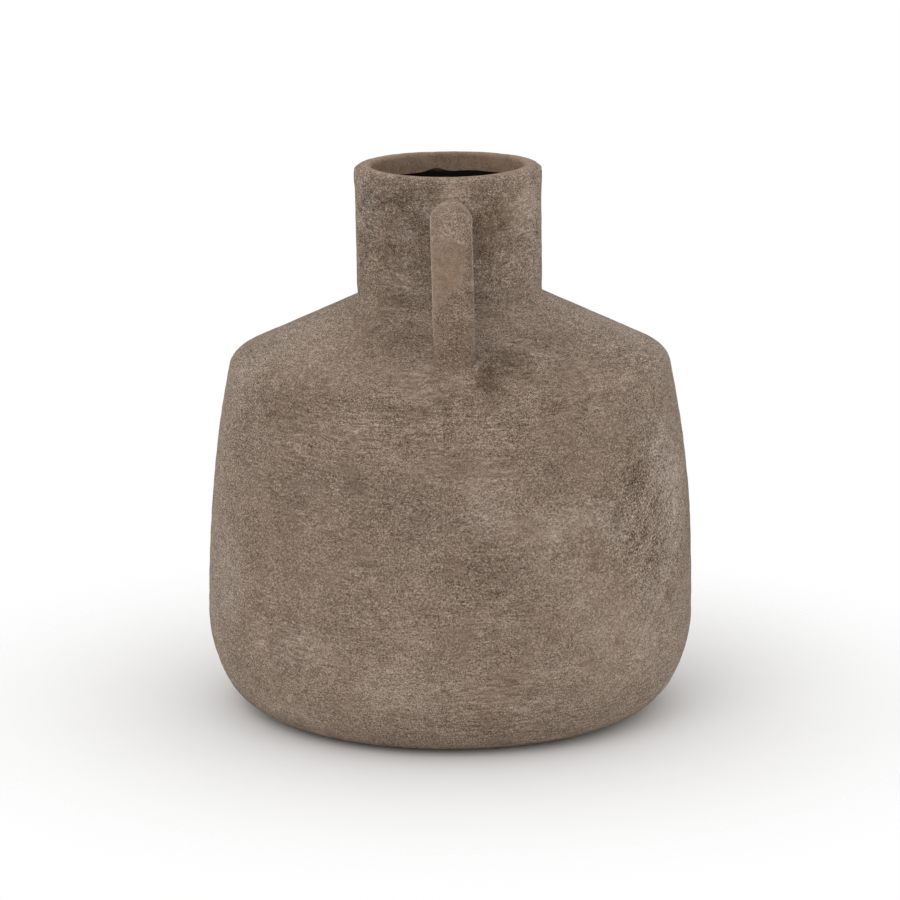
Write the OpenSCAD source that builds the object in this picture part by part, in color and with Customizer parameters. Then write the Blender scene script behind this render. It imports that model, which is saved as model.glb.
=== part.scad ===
// Clay vase with a round body, a straight neck and one strap handle, made in sections that are
// keyed together with a tongue and groove, luted with slip and lined with a dark sealing coat.
// Millimetres. The origin is the centre of the standing face, +Z is up, the handle is on the -Y side.

/* [Body] */
// Widest diameter of the body
body_d = 250; // [220:1:290]
// Height of the widest ring above the standing face
widest_z = 50; // [44:1:60]
// Radius of the curve just under the widest ring
belly_r = 71; // [64:1:90]
// Radius of the curve that turns the wall under to the standing face
heel_r = 30.5; // [24:0.5:36]
// Radius of the long curve that leans the wall in above the widest ring
side_r = 690; // [500:10:1200]
// Thickness of the clay wall
wall = 8.4; // [6:0.2:10]
// Thickness of the floor
floor_t = 10; // [8:0.5:13]

/* [Shoulder] */
// Slope of the shoulder in degrees
shoulder_slope = 25.3; // [18:0.1:32]
// Radius of the rounded edge between wall and shoulder
edge_r = 9; // [4:0.5:14]

/* [Neck] */
// Outside diameter of the neck
neck_d = 94.2; // [84:0.2:104]
// Height at which shoulder and neck meet
neck_z = 213.7; // [206:0.1:220]
// Radius of the hollow corner between shoulder and neck
neck_fillet = 3; // [1.5:0.5:6]
// Height of the whole vase
height = 280.7; // [270:0.1:310]

/* [Rim] */
// Height of the coil that forms the rim
rim_h = 5.4; // [4.6:0.2:8]
// How far the lip stands out from the neck
lip_proud = 0.4; // [0:0.1:1.5]
// Radius of the outer edge of the lip
lip_r = 3.1; // [1.5:0.1:4]
// Radius of the inner edge of the lip
mouth_edge_r = 1; // [0.5:0.1:2]

/* [Section joints] */
// Height of the turned-up edge of the base above the floor
base_upstand = 6; // [4:0.5:9]
// Height of the joint at the middle of the body
waist_z = 100; // [80:1:140]
// Distance from a section joint to the curve that follows it
joint_land = 1.5; // [0.5:0.5:4]
// Width of the tongue under each section
tongue_w = 2.6; // [1.5:0.1:3]
// Height of the tongue under each section
tongue_h = 2.4; // [1.5:0.1:4]
// Thickness of the slip in every joint
slip_t = 0.6; // [0.4:0.1:1]

/* [Handle] */
// Drop from the top of the rim to the top of the strap
handle_drop = 6.4; // [5:0.2:16]
// Reach of the strap's outer face from the neck
handle_reach = 45.5; // [38:0.5:54]
// Width of the strap
strap_w = 20.8; // [16:0.2:26]
// Thickness of the strap
strap_t = 11; // [9:0.2:14]
// Radius of the strap's rounded edges
strap_edge_r = 4; // [2:0.5:4.5]
// Radius of the strap's bend, at the middle of its thickness
bend_r = 15; // [9:0.5:20]

/* [Luting wads] */
// How far a wad spreads on the pot round the handle's root
wad_spread = 4; // [2:0.5:7]
// How far a wad rises along the strap
wad_rise = 4.5; // [2:0.5:7]
// Thickness of a wad at the end on the strap
wad_lip = 0.8; // [0.5:0.1:1.5]

/* [Sealing coat] */
// Thickness of the dark coat inside
coat_t = 1; // [0.6:0.1:2]
// Drop from the top of the rim to the upper edge of the coat
coat_drop = 9.5; // [4:0.5:30]

/* [Hidden] */

CLAY = [0.49, 0.42, 0.36];
SLIP = [0.56, 0.47, 0.39];
COAT = [0.07, 0.06, 0.05];

// Facets of a full turn
$fn = 180;
// Facets of the round corners of a wad
wad_fn = 32;
// Steps in one rounded stretch of the outline
arc_steps = 12;
// Smallest corner radius inside the shoulder edge
least_edge_r = 0.5;
// Thickness of the plates between which a wad is stretched
plate_t = 0.01;
// Least distance between two points of an outline
tiny = 0.001;

neck_r = neck_d / 2;
mouth_r = neck_r - wall;
belly_c = [body_d / 2 - belly_r, widest_z];
side_c = [body_d / 2 - side_r, widest_z];
neck_c = [neck_r + neck_fillet, neck_z + neck_fillet * (1 - sin(shoulder_slope)) / cos(shoulder_slope)];
shoulder_n = [sin(shoulder_slope), cos(shoulder_slope)];
shoulder_u = [cos(shoulder_slope), -sin(shoulder_slope)];
// Distance of the shoulder's line from the origin, along its normal
shoulder_off = shoulder_n * [neck_r, neck_z];

function arc(centre, r, from, to) = [
    for (i = [0:arc_steps])
        let (a = from + (to - from) * i / arc_steps)
        centre + r * [cos(a), sin(a)]
];
function rest_of(points) = [for (i = [1:len(points) - 1]) points[i]];
function reversed(points) = [for (i = [len(points) - 1:-1:0]) points[i]];

// A skin is the outline at a depth inside the outer surface, from its floor to the top of the neck.
function heel_angle(depth, floor_z) =
    asin((widest_z - floor_z - heel_r + depth) / (belly_r - heel_r));
function heel_c(depth, floor_z) =
    let (a = heel_angle(depth, floor_z))
    belly_c + (belly_r - heel_r) * [cos(a), -sin(a)];
function edge_radius(depth) = max(edge_r - depth, least_edge_r);
function edge_c(depth) =
    let (
        inset = depth + edge_radius(depth),
        start = shoulder_n * (shoulder_off - inset),
        q = start - side_c,
        along = q * shoulder_u
    )
    start + (sqrt(along * along - q * q + pow(side_r - inset, 2)) - along) * shoulder_u;
function side_angle(depth) =
    let (v = edge_c(depth) - side_c)
    atan2(v[1], v[0]);
function skin(depth, floor_z) = concat(
    arc(heel_c(depth, floor_z), heel_r - depth, -90, -heel_angle(depth, floor_z)),
    rest_of(arc(belly_c, belly_r - depth, -heel_angle(depth, floor_z), 0)),
    rest_of(arc(side_c, side_r - depth, 0, side_angle(depth))),
    rest_of(arc(edge_c(depth), edge_radius(depth), side_angle(depth), 90 - shoulder_slope)),
    arc(neck_c, neck_fillet + depth, 270 - shoulder_slope, 180),
    [[neck_r - depth, height]]
);
function radius_at(z, skin) = lookup(z, [for (p = skin) [p[1], p[0]]]);
function stretch(skin, from, to) = concat(
    [[radius_at(from, skin), from]],
    [for (p = skin) if (p[1] > from + tiny && p[1] < to - tiny) p],
    [[radius_at(to, skin), to]]
);

outer = skin(0, 0);
inner = skin(wall, floor_t);
lined = skin(wall + coat_t, floor_t + coat_t);

// Heights of the section joints
function side_top(depth) = side_c[1] + (side_r - depth) * sin(side_angle(depth));
base_joint_z = floor_t + base_upstand;
shoulder_joint_z = min(side_top(0), side_top(wall)) - joint_land;
neck_joint_z = neck_c[1] + joint_land;
rim_joint_z = height - rim_h;
coat_top_z = height - coat_drop;

// The keyed joint: a tongue under the upper section in a slip-filled groove of the lower one
function mid_wall(z) = (radius_at(z, outer) + radius_at(z, inner)) / 2;
function key(z, margin) =
    let (m = mid_wall(z), half = tongue_w / 2 + margin, deep = tongue_h + margin)
    [[m + half, z], [m + half, z - deep], [m - half, z - deep], [m - half, z]];
function groove(z) = key(z, slip_t);
function tongue(z) = key(z, 0);

module wall_ring(from, to) {
    rotate_extrude()
        polygon(concat(
            stretch(outer, from, to),
            groove(to),
            reversed(stretch(inner, from, to)),
            reversed(tongue(from))
        ));
}

module slip_ring(z) {
    color(SLIP)
        rotate_extrude()
            polygon(concat(groove(z), reversed(tongue(z))));
}

module base_joint_slip() {
    slip_ring(base_joint_z);
}

module waist_joint_slip() {
    slip_ring(waist_z);
}

module shoulder_joint_slip() {
    slip_ring(shoulder_joint_z);
}

module neck_joint_slip() {
    slip_ring(neck_joint_z);
}

module rim_joint_slip() {
    slip_ring(rim_joint_z);
}

module base_dish() {
    color(CLAY)
        rotate_extrude()
            polygon(concat(
                [[0, 0]],
                stretch(outer, 0, base_joint_z),
                groove(base_joint_z),
                reversed(stretch(inner, floor_t, base_joint_z)),
                [[0, floor_t]]
            ));
}

module belly_section() {
    color(CLAY)
        wall_ring(base_joint_z, waist_z);
}

module wall_section() {
    color(CLAY)
        wall_ring(waist_z, shoulder_joint_z);
}

module shoulder_section() {
    color(CLAY)
        wall_ring(shoulder_joint_z, neck_joint_z);
}

module neck_collar() {
    color(CLAY)
        wall_ring(neck_joint_z, rim_joint_z);
}

// Outer edge of the lip, grown by a margin
function lip(margin) = arc([neck_r + lip_proud - lip_r, height - lip_r], lip_r + margin, 0, 90);

module rim_coil() {
    color(CLAY)
        rotate_extrude()
            polygon(concat(
                [[neck_r, rim_joint_z]],
                lip(0),
                arc([mouth_r + mouth_edge_r, height - mouth_edge_r], mouth_edge_r, 90, 180),
                [[mouth_r, rim_joint_z]],
                reversed(tongue(rim_joint_z))
            ));
}

// The pot's whole outside, grown by a margin, to cut what is luted on to it
module pot(margin) {
    rotate_extrude()
        polygon(concat(
            [[0, -margin]],
            stretch(skin(-margin, -margin), -margin, rim_joint_z),
            lip(margin),
            [[0, height + margin]]
        ));
}

// Handle: an arm from the neck, a bend and a leg down to the shoulder
arm_z = height - handle_drop - strap_t / 2;
leg_y = neck_r + handle_reach - strap_t / 2;
bend_y = leg_y - bend_r;
bend_z = arm_z - bend_r;
// Height of the shoulder under the middle of the leg
foot_z = neck_z - (leg_y - neck_r) * tan(shoulder_slope);
// How far the strap and the wads are drawn into the pot before they are cut to its surface
root_depth = wall / 2;
leg_low_z = foot_z - strap_t * tan(shoulder_slope) - root_depth;
arm_from_y = neck_r - root_depth;

module rounded_plate(w, t, r) {
    square([w - 2 * r, t], center = true);
    square([w, t - 2 * r], center = true);
    for (x = [-1, 1], y = [-1, 1])
        translate([x * (w / 2 - r), y * (t / 2 - r)])
            circle(r);
}

module strap_section() {
    rounded_plate(strap_w, strap_t, strap_edge_r);
}

module strap_arm() {
    translate([0, -bend_y, arm_z])
        rotate([-90, 0, 0])
            linear_extrude(bend_y - arm_from_y)
                strap_section();
}

module strap_leg() {
    translate([0, -leg_y, bend_z])
        mirror([0, 0, 1])
            linear_extrude(bend_z - leg_low_z)
                strap_section();
}

module strap() {
    strap_arm();
    translate([0, -bend_y, bend_z])
        rotate([0, -90, 180])
            rotate_extrude(angle = 90)
                translate([bend_r, 0])
                    rotate(90)
                        strap_section();
    strap_leg();
}

module strap_handle() {
    color(CLAY)
        difference() {
            strap();
            pot(slip_t);
        }
}

module handle_slip() {
    color(SLIP)
        difference() {
            intersection() {
                children();
                pot(slip_t);
            }
            pot(0);
        }
}

module upper_handle_slip() {
    handle_slip()
        strap_arm();
}

module lower_handle_slip() {
    handle_slip()
        strap_leg();
}

// A wad tapers evenly along the strap, from its spread on the pot's surface to its lip.
root_margin = wad_lip + (wad_spread - wad_lip) * (wad_rise + root_depth) / wad_rise;

module wad_plate(t, margin) {
    linear_extrude(plate_t)
        rounded_plate(strap_w + 2 * margin, t + 2 * margin, strap_edge_r + margin, $fn = wad_fn);
}

module upper_wad() {
    color(CLAY)
        difference() {
            hull() {
                translate([0, -arm_from_y, arm_z])
                    rotate([90, 0, 0])
                        wad_plate(strap_t, root_margin);
                translate([0, -neck_r - wad_rise, arm_z])
                    rotate([90, 0, 0])
                        wad_plate(strap_t, wad_lip);
            }
            strap();
            pot(0);
            // The wad is trimmed level with the joint of neck and rim.
            translate([0, 0, rim_joint_z])
                cylinder(h = height, r = neck_r + handle_reach);
        }
}

module lower_wad() {
    slanted_t = strap_t / cos(shoulder_slope);
    color(CLAY)
        difference() {
            hull() {
                translate([0, -leg_y, foot_z - root_depth])
                    rotate([shoulder_slope, 0, 0])
                        wad_plate(slanted_t, root_margin);
                translate([0, -leg_y, foot_z + wad_rise])
                    rotate([shoulder_slope, 0, 0])
                        wad_plate(slanted_t, wad_lip);
            }
            strap();
            pot(0);
        }
}

module sealing_coat() {
    color(COAT)
        rotate_extrude()
            polygon(concat(
                [[0, floor_t]],
                stretch(inner, floor_t, coat_top_z),
                reversed(stretch(lined, floor_t + coat_t, coat_top_z)),
                [[0, floor_t + coat_t]]
            ));
}

base_dish();
belly_section();
wall_section();
shoulder_section();
neck_collar();
rim_coil();
base_joint_slip();
waist_joint_slip();
shoulder_joint_slip();
neck_joint_slip();
rim_joint_slip();
strap_handle();
upper_handle_slip();
lower_handle_slip();
upper_wad();
lower_wad();
sealing_coat();
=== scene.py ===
import math

import bpy
import numpy as np
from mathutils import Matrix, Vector, noise


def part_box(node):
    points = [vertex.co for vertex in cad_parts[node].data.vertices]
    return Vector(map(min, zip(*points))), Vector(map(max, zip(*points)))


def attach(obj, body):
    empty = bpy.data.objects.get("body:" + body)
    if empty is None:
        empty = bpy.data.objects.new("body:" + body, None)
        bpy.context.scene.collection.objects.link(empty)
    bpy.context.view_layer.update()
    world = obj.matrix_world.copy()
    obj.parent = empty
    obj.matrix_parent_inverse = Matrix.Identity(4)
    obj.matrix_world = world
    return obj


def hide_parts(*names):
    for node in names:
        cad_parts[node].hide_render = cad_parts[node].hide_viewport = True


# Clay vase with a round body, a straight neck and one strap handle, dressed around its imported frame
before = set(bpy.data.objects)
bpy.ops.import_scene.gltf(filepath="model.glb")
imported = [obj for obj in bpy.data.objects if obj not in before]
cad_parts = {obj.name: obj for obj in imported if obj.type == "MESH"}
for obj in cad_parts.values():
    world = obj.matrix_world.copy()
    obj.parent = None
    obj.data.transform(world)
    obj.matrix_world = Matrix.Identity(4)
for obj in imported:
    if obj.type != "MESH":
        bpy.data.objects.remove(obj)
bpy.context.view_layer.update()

bl_info = {
    "name": "Clay vase",
    "version": (1, 0, 0),
    "blender": (4, 5, 0),
    "location": "3D View > Sidebar > Vase",
    "description": "Models a washed clay vase with one strap handle around its frame",
    "category": "Add Mesh",
}

MM = 0.001
BODY = "root"
# Two points of a mesh closer than this are one point
CLOSE = 0.001 * MM
# Edges that turn by more than this stay sharp
SHARP_ANGLE = math.radians(50)
# A turned piece is spun as one slice, which is then copied round
SLICES = 16
# Depth of the skin that the hand shapes
SKIN = 1 * MM
# Distances over which the relief fades in from the mouth and from the standing face
LIP_EDGE = 2.5 * MM
FOOT_EDGE = 5 * MM

# Places along the strap: on its leg, where its arm starts to narrow, and at the neck. Its bend ends at 1.
ON_LEG, NARROWING, AT_NECK = 0, 0.8, 2
# Cuts in each long side and each rounded edge of the strap's section
STRAP_CUTS = 9
# Share of the skin's relief that shows on the strap
STRAP_RELIEF = 0.7
# Worn sides of the strap: share of its half width where they start, and how soon they show in full
SIDE_START, SIDE_FADE = 0.94, 0.05
# The worn sides start this far outside mid thickness, and show in full after this rise
SIDE_OUT, SIDE_RISE = 0.2 * MM, 1.2 * MM
# Crest of the bend, painted pale as a highlight: its place along the strap, its reach, and its half width
# and fade across the strap
CREST_PLACE, CREST_REACH, CREST_HALF, CREST_FADE = 0.84, 0.04, 0.55, 0.3
# Strength of the painted highlight on the crest over the wear of the sides, and how far outside mid
# thickness it shows in full
CREST_HIGHLIGHT, CREST_RISE = 0.9, 2 * MM
# Steps across the hollow face of a wad, and the size of its lumps over those of the skin
WAD_STEPS = 11
WAD_LUMPS = 2
# Share of its spread that a wad loses above the strap, where the lip leaves little room
WAD_SQUEEZE = 0.75
# Distance of the mesh lines round the handle's roots over that on the skin
ROOT_PITCH = 0.7
# Waves in the lining's edge: how many go round, where they start in radians, and their share of the height
COAT_WAVES = ((3, 0.6, 1), (5, 2.1, 0.7), (11, 0, 0.4))
# Half sizes of the smear on the hump in the lining's edge
SMEAR_HALF = (7 * MM, 9 * MM, 2.1 * MM)

# Grains of the finishes: size of their features in millimetres, octaves, strength of the finer octaves, warp
GRAINS = {
    "ragged": (9, 6, 0.75, 0),
    "fine_speck": (0.48, 1, 0.6, 0),
    "coarse_speck": (0.54, 1, 0.6, 0),
    "dragged_speck": (0.55, 1, 0.6, 0),
    "pit": (1.3, 2, 0.55, 0),
    "clump": (3.4, 3, 0.6, 0),
    "level_stroke": (7, 4, 0.65, 0.2),
    "slanted_stroke": (9, 4, 0.65, 0.2),
    "slanted_sweep": (26, 2, 0.5, 0),
    "brushed": (42, 3, 0.6, 0),
    "cloud": (24, 5, 0.65, 0.6),
    "broad": (75, 2, 0.5, 0),
    "calm": (22, 4, 0.6, 0),
    "chalk": (3, 4, 0.7, 0),
    "tint": (28, 6, 0.7, 0),
    "bare_speck": (0.7, 2, 0.6, 0),
    "bare_mottle": (4, 3, 0.6, 0),
    "bare_cloud": (13, 4, 0.6, 0),
    "bare_edge": (5, 3, 0.6, 0),
    "rub_edge": (3.5, 4, 0.65, 0),
    "wear_and_highlight_line": (2.4, 2, 0.5, 0),
    "coat_stroke": (12, 4, 0.6, 0),
    "coat_speck": (1.5, 2, 0.5, 0),
    "slip_speck": (1.2, 3, 0.6, 0),
    "slip_cloud": (9, 3, 0.5, 0),
    "floor_cloud": (40, 3, 0.5, 0),
}
# Size of the stretched grains along X, Y and Z over their feature size
STRETCH = {
    "ragged": (1, 1, 0.6),
    "speck": (1, 1, 0.7),
    "coarse_speck": (1, 1.3, 0.8),
    "dragged_speck": (1.9, 1, 0.75),
    "stroke": (1, 1, 0.16),
    "cloud": (1, 1, 0.55),
    "coat_stroke": (1, 1, 0.2),
}
# Masks of the finishes: the values at which each is 0 and 1
MASKS = {
    "patch": (1.4, 0.2),
    "right": (1.3, 0.3),
    "flank": (0.45, 1.0),
    "clump": (0.2, 0.6),
    "brushed": (-0.06, 0.16),
    "calm": (0.0, 0.14),
    "chalk": (0.0, 0.13),
    "cool": (0.0, 0.7),
    "warm": (0.0, -0.7),
    "bare": (-0.4, 0.45),
    "wear_and_highlight_line": (-0.14, 0.08),
    "coat_thin": (0.02, 0.3),
    "coat_smear": (1.1, 0.5),
    "slip": (-0.2, 0.35),
}
# Masks by place: the millimetres at which each is 0 and 1
# The bare clay inside counts from the mouth's radius and from the neck's lower joint
# The rubbed front counts from the strap's foremost point, and the others from the origin
REACHES = {
    "raised": (216, 226),
    "bare_inside": (4.6, 3),
    "bare_above": (0, 5),
    "bare_under": (2.2, 0.8),
    "rub_front": (8, 6),
    "rub_top": (258.4, 255.4),
    "rub_right": (8.2, 6.2),
    "rub_foot": (228, 235),
    "worn_sides": (214, 223),
}
# How far the ragged edge of a patch wanders, in half sizes of the patch
PATCH_RAG = 3
# How far the ragged edges of the bare clay wander, at the mouth and under the foot
MOUTH_RAG, UNDER_RAG = 2.5 * MM, 2 * MM
# How far the upper, right and lower edges of the rubbed patch on the handle wander
RUB_TOP_RAG, RUB_RIGHT_RAG, RUB_FOOT_RAG = 5 * MM, 4 * MM, 14 * MM
# Arch of that patch's upper edge, per metre, and slant of its lower edge
RUB_ARCH, RUB_SLANT = 55, 1.28
# Centre and half sizes of the right side with its slanted strokes, in millimetres
RIGHT_SIDE = ((102, -66, 116), (44, 66, 60))
# Rise of the slanted strokes, and the turn round the axis of the side that they lie on
STROKE_RISE, STROKE_FACING = math.radians(40), math.radians(57)
# Brushing that is left in the plainest places
LEAST_BRUSHED = 0.55
# Mean of the chalky clusters, taken off so that they leave the mean tone alone
CHALK_MEAN = 0.14
# Places of the four colours of the wash on its ramp
WASH_STOPS = (0.0, 0.32, 0.66, 1.0)
# Shares of the clouds, the mottle and the specks in the tone of bare clay
BARE_CLOUD, BARE_MOTTLE, BARE_SPECK = 0.8, 1.5, 2.5
# Heights of the clouds and the specks of bare clay, in millimetres
BARE_CLOUD_HEIGHT, BARE_SPECK_HEIGHT = 0.08, 0.06
# Share of the specks in the thin places of the lining, and how far its colour thins there
COAT_SPECK, COAT_THINNING = 0.4, 0.6
# Roughness that the brush adds to the lining, and heights of its strokes and specks in millimetres
COAT_STREAK, COAT_STROKE_HEIGHT, COAT_SPECK_HEIGHT = 0.3, 0.25, 0.05
# Share of the clouds in the tone of the slip, and roughness that its specks add
SLIP_CLOUD, SLIP_GRIT = 0.6, 0.1
# Heights of the clouds and the specks of the slip, in millimetres
SLIP_CLOUD_HEIGHT, SLIP_SPECK_HEIGHT = 0.1, 0.08

# Places where the wash lies thicker, thinner or rubbed, and places beside the handle where its shade and
# shadow are painted darker. Each has a centre and half sizes in millimetres, a turn in degrees seen from the
# front, a tone (dark below zero, pale above) and a tint (warm below zero, cool above).
BODY_PATCHES = (
    ((-75, -43, 195), (24, 34, 11), 0, 0.16, 0),
    ((-101, -46, 182), (10, 22, 9), 0, 0.08, 0.1),
    ((-88, -74, 168), (18, 24, 13), 0, -0.22, 0.1),
    ((-74, -94, 134), (36, 30, 15), 8, -0.15, 0.15),
    ((-18, -118, 129), (40, 30, 15), -22, -0.2, 0.2),
    ((30, -120, 94), (38, 30, 14), -50, -0.18, 0),
    ((-51, -104, 158), (30, 26, 13), 0, 0.14, -0.1),
    ((19, -115, 160), (24, 24, 11), 0, 0.08, -0.15),
    ((20, -118, 134), (15, 24, 13), 0, 0.24, 0.1),
    ((57, -107, 121), (26, 24, 12), 8, 0.48, 0.2),
    ((110, -49, 132), (11, 28, 30), 20, 0.52, 0.1),
    ((91, -77, 138), (8, 14, 12), 20, -0.28, -0.2),
    ((98, -73, 111), (22, 24, 6), 60, -0.14, -0.2),
    ((93, -81, 88), (28, 26, 7), 32, -0.18, -0.2),
    ((85, -89, 109), (11, 16, 8), 20, 0.18, 0.2),
    ((112, -51, 95), (9, 18, 6), 30, 0.2, 0),
    ((80, -95, 71), (38, 34, 32), 0, 0.32, 0),
    ((103, -71, 50), (22, 40, 22), 0, 0.22, 0),
    ((-111, -56, 78), (10, 30, 22), 0, 0.2, 0.2),
    ((-72, -102, 52), (28, 30, 13), 0, 0.14, 0.15),
    ((16, -117, 19), (20, 20, 10), 0, -0.26, -0.2),
    ((-83, -84, 19), (24, 28, 10), 0, 0.2, 0.1),
    ((0, -112, 30), (95, 40, 16), 0, 0.14, 0),
    ((-25, -122, 42), (28, 20, 16), 0, 0.24, 0),
    ((54, -52, 200), (26, 28, 9), 0, -0.2, 0.1),
    ((74, -84, 181.5), (34, 34, 2.2), 11, 0.28, -0.2),
    ((58, -97, 177), (26, 24, 2.6), 8, -0.3, -0.2),
    ((65, -97, 159), (22, 24, 12), 0, -0.06, -0.1),
    ((-25, -110, 177), (26, 20, 2.2), -6, -0.25, -0.1),
    ((-1.5, -115, 166), (1.8, 12, 16), 0, -0.24, 0),
    ((-14, -107, 183), (16, 16, 5), 0, 0.06, -0.1),
    ((-103, -58, 147), (10, 26, 18), 0, -0.24, 0),
    ((47, -87, 189), (18, 20, 6), 0, -0.14, 0),
    ((2, -113, 180), (12, 14, 8), 0, -0.2, 0),
    ((-27, -122, 69), (14, 20, 20), 0, 0.22, 0),
    ((8, -123, 96), (18, 18, 16), 0, -0.17, 0),
    ((46, -114, 97), (15, 20, 15), 0, 0.18, 0),
    ((110, -57, 96), (9, 26, 30), 0, 0.24, 0),
    ((92, -66, 177), (16, 24, 9), 0, 0.18, 0),
    ((84, -92, 53), (18, 20, 10), 0, -0.14, 0),
    ((76, -94, 120), (12, 16, 9), 0, 0.14, 0.1),
    ((-34, -117, 120), (14, 18, 9), 0, -0.16, 0),
    ((-40, 112, 150), (36, 30, 14), -12, 0.3, 0.1),
    ((52, 104, 122), (40, 30, 15), 18, -0.24, 0),
    ((-70, 98, 84), (34, 32, 16), -35, -0.22, 0.1),
    ((18, 118, 68), (30, 26, 18), 0, 0.3, -0.1),
    ((86, 84, 166), (22, 26, 12), 0, 0.22, 0.1),
    ((112, 48, 88), (14, 36, 22), 0, -0.22, 0),
    ((-110, 48, 140), (14, 36, 26), 0, 0.26, 0.1),
    ((-30, 70, 197), (28, 24, 8), 0, -0.28, -0.1),
    ((40, 76, 194), (26, 24, 7), 0, 0.24, -0.1),
)
NECK_WASH_AND_SHADE = (
    ((-24, -40, 271), (15, 14, 9), 0, -0.5, 0),
    ((-42, -21, 252), (7, 14, 18), 0, -0.06, 0.2),
    ((-26, -39, 226), (20, 16, 11), 0, 0.14, 0.1),
    ((-12.5, -45, 264), (6, 9, 7), 20, 0.54, 0.3),
    ((-18.5, -43, 251), (7, 9, 4.5), 20, 0.3, 0.3),
    ((-22, -42, 238), (5, 8, 3), 10, 0.4, 0.25),
    ((-21, -42, 226), (13, 12, 7), -20, 0.46, 0.25),
    ((-40, -25, 265), (7, 12, 7), 0, -0.2, 0.2),
    ((-1, -47, 271), (7, 9, 7), 0, 0.5, -0.1),
    ((6, -47, 275), (9, 9, 6), 0, 0.26, -0.1),
    # Painted shadow of the handle on the neck, to its right
    ((19, -43, 252), (11, 12, 24), 0, -0.42, -0.3),
    ((39, -27, 263), (12, 16, 14), 0, 0.62, -0.2),
    ((16, 43, 252), (14, 14, 18), 0, -0.32, -0.1),
    ((-24, 39, 236), (13, 13, 9), 0, 0.36, 0.1),
    ((-22, -38, 243), (40, 26, 34), 0, -0.32, 0),
    ((24, -40, 230), (18, 16, 11), 0, 0.3, 0),
    # Painted shade on the neck beside the strap's left edge
    ((-14, -45, 255), (6, 8, 8), 0, -0.36, 0),
    ((-44, -17, 232), (5, 14, 18), 0, -0.24, 0),
    ((-9, -46, 276), (5, 8, 5), 0, -0.36, 0),
    ((-15, -45, 273), (4, 8, 4), 0, 0.3, 0.2),
    ((40, -24, 232), (8, 16, 10), 0, 0.2, 0),
)
HANDLE_WASH_AND_SHADE = (
    ((3, -58, 272), (9, 18, 9), 0, 0.2, -0.2),
    ((1, -92, 262), (14, 12, 13), 0, 0.16, -0.2),
    ((2, -92, 210), (14, 10, 20), 0, -0.14, -0.2),
    ((-23, -67, 203), (20, 22, 12), 0, -0.3, 0),
    # Painted shade along the strap's right side, where its rounded edge turns from the light
    ((9.5, -91, 243), (2.6, 10, 26), 0, -0.3, 0),
    # Painted shade at the upper left edge of the strap's bend
    ((-8, -90, 266), (4, 8, 7), 0, -0.26, 0),
    # These two are the handle's shadow, painted dark on the shoulder to the right of its foot
    ((29, -82, 195), (12, 14, 9), 0, -0.6, 0.1),
    ((18.5, -98.5, 188.6), (7, 16, 12), 30, -0.76, -0.2),
)


def length(name, description, default):
    """A size in metres."""
    return bpy.props.FloatProperty(
        name=name, description=description, default=default, unit="LENGTH", precision=5
    )


def number(name, description, default):
    """A plain number."""
    return bpy.props.FloatProperty(name=name, description=description, default=default)


def rotation(name, description, degrees):
    """An angle, written in degrees."""
    return bpy.props.FloatProperty(
        name=name, description=description, default=math.radians(degrees), unit="ROTATION"
    )


def count(name, description, default):
    """A whole number."""
    return bpy.props.IntProperty(name=name, description=description, default=default, min=3)


def colour(name, description, display):
    """A colour, written as the 0 to 255 values that a screen shows."""
    shares = [c / 255 for c in display]
    linear = [c / 12.92 if c <= 0.04045 else ((c + 0.055) / 1.055) ** 2.4 for c in shares]
    return bpy.props.FloatVectorProperty(
        name=name, description=description, default=linear, subtype="COLOR", size=3, min=0, max=1
    )


def low(node):
    """Lowest corner of a frame node."""
    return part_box(node)[0]


def high(node):
    """Highest corner of a frame node."""
    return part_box(node)[1]


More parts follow.
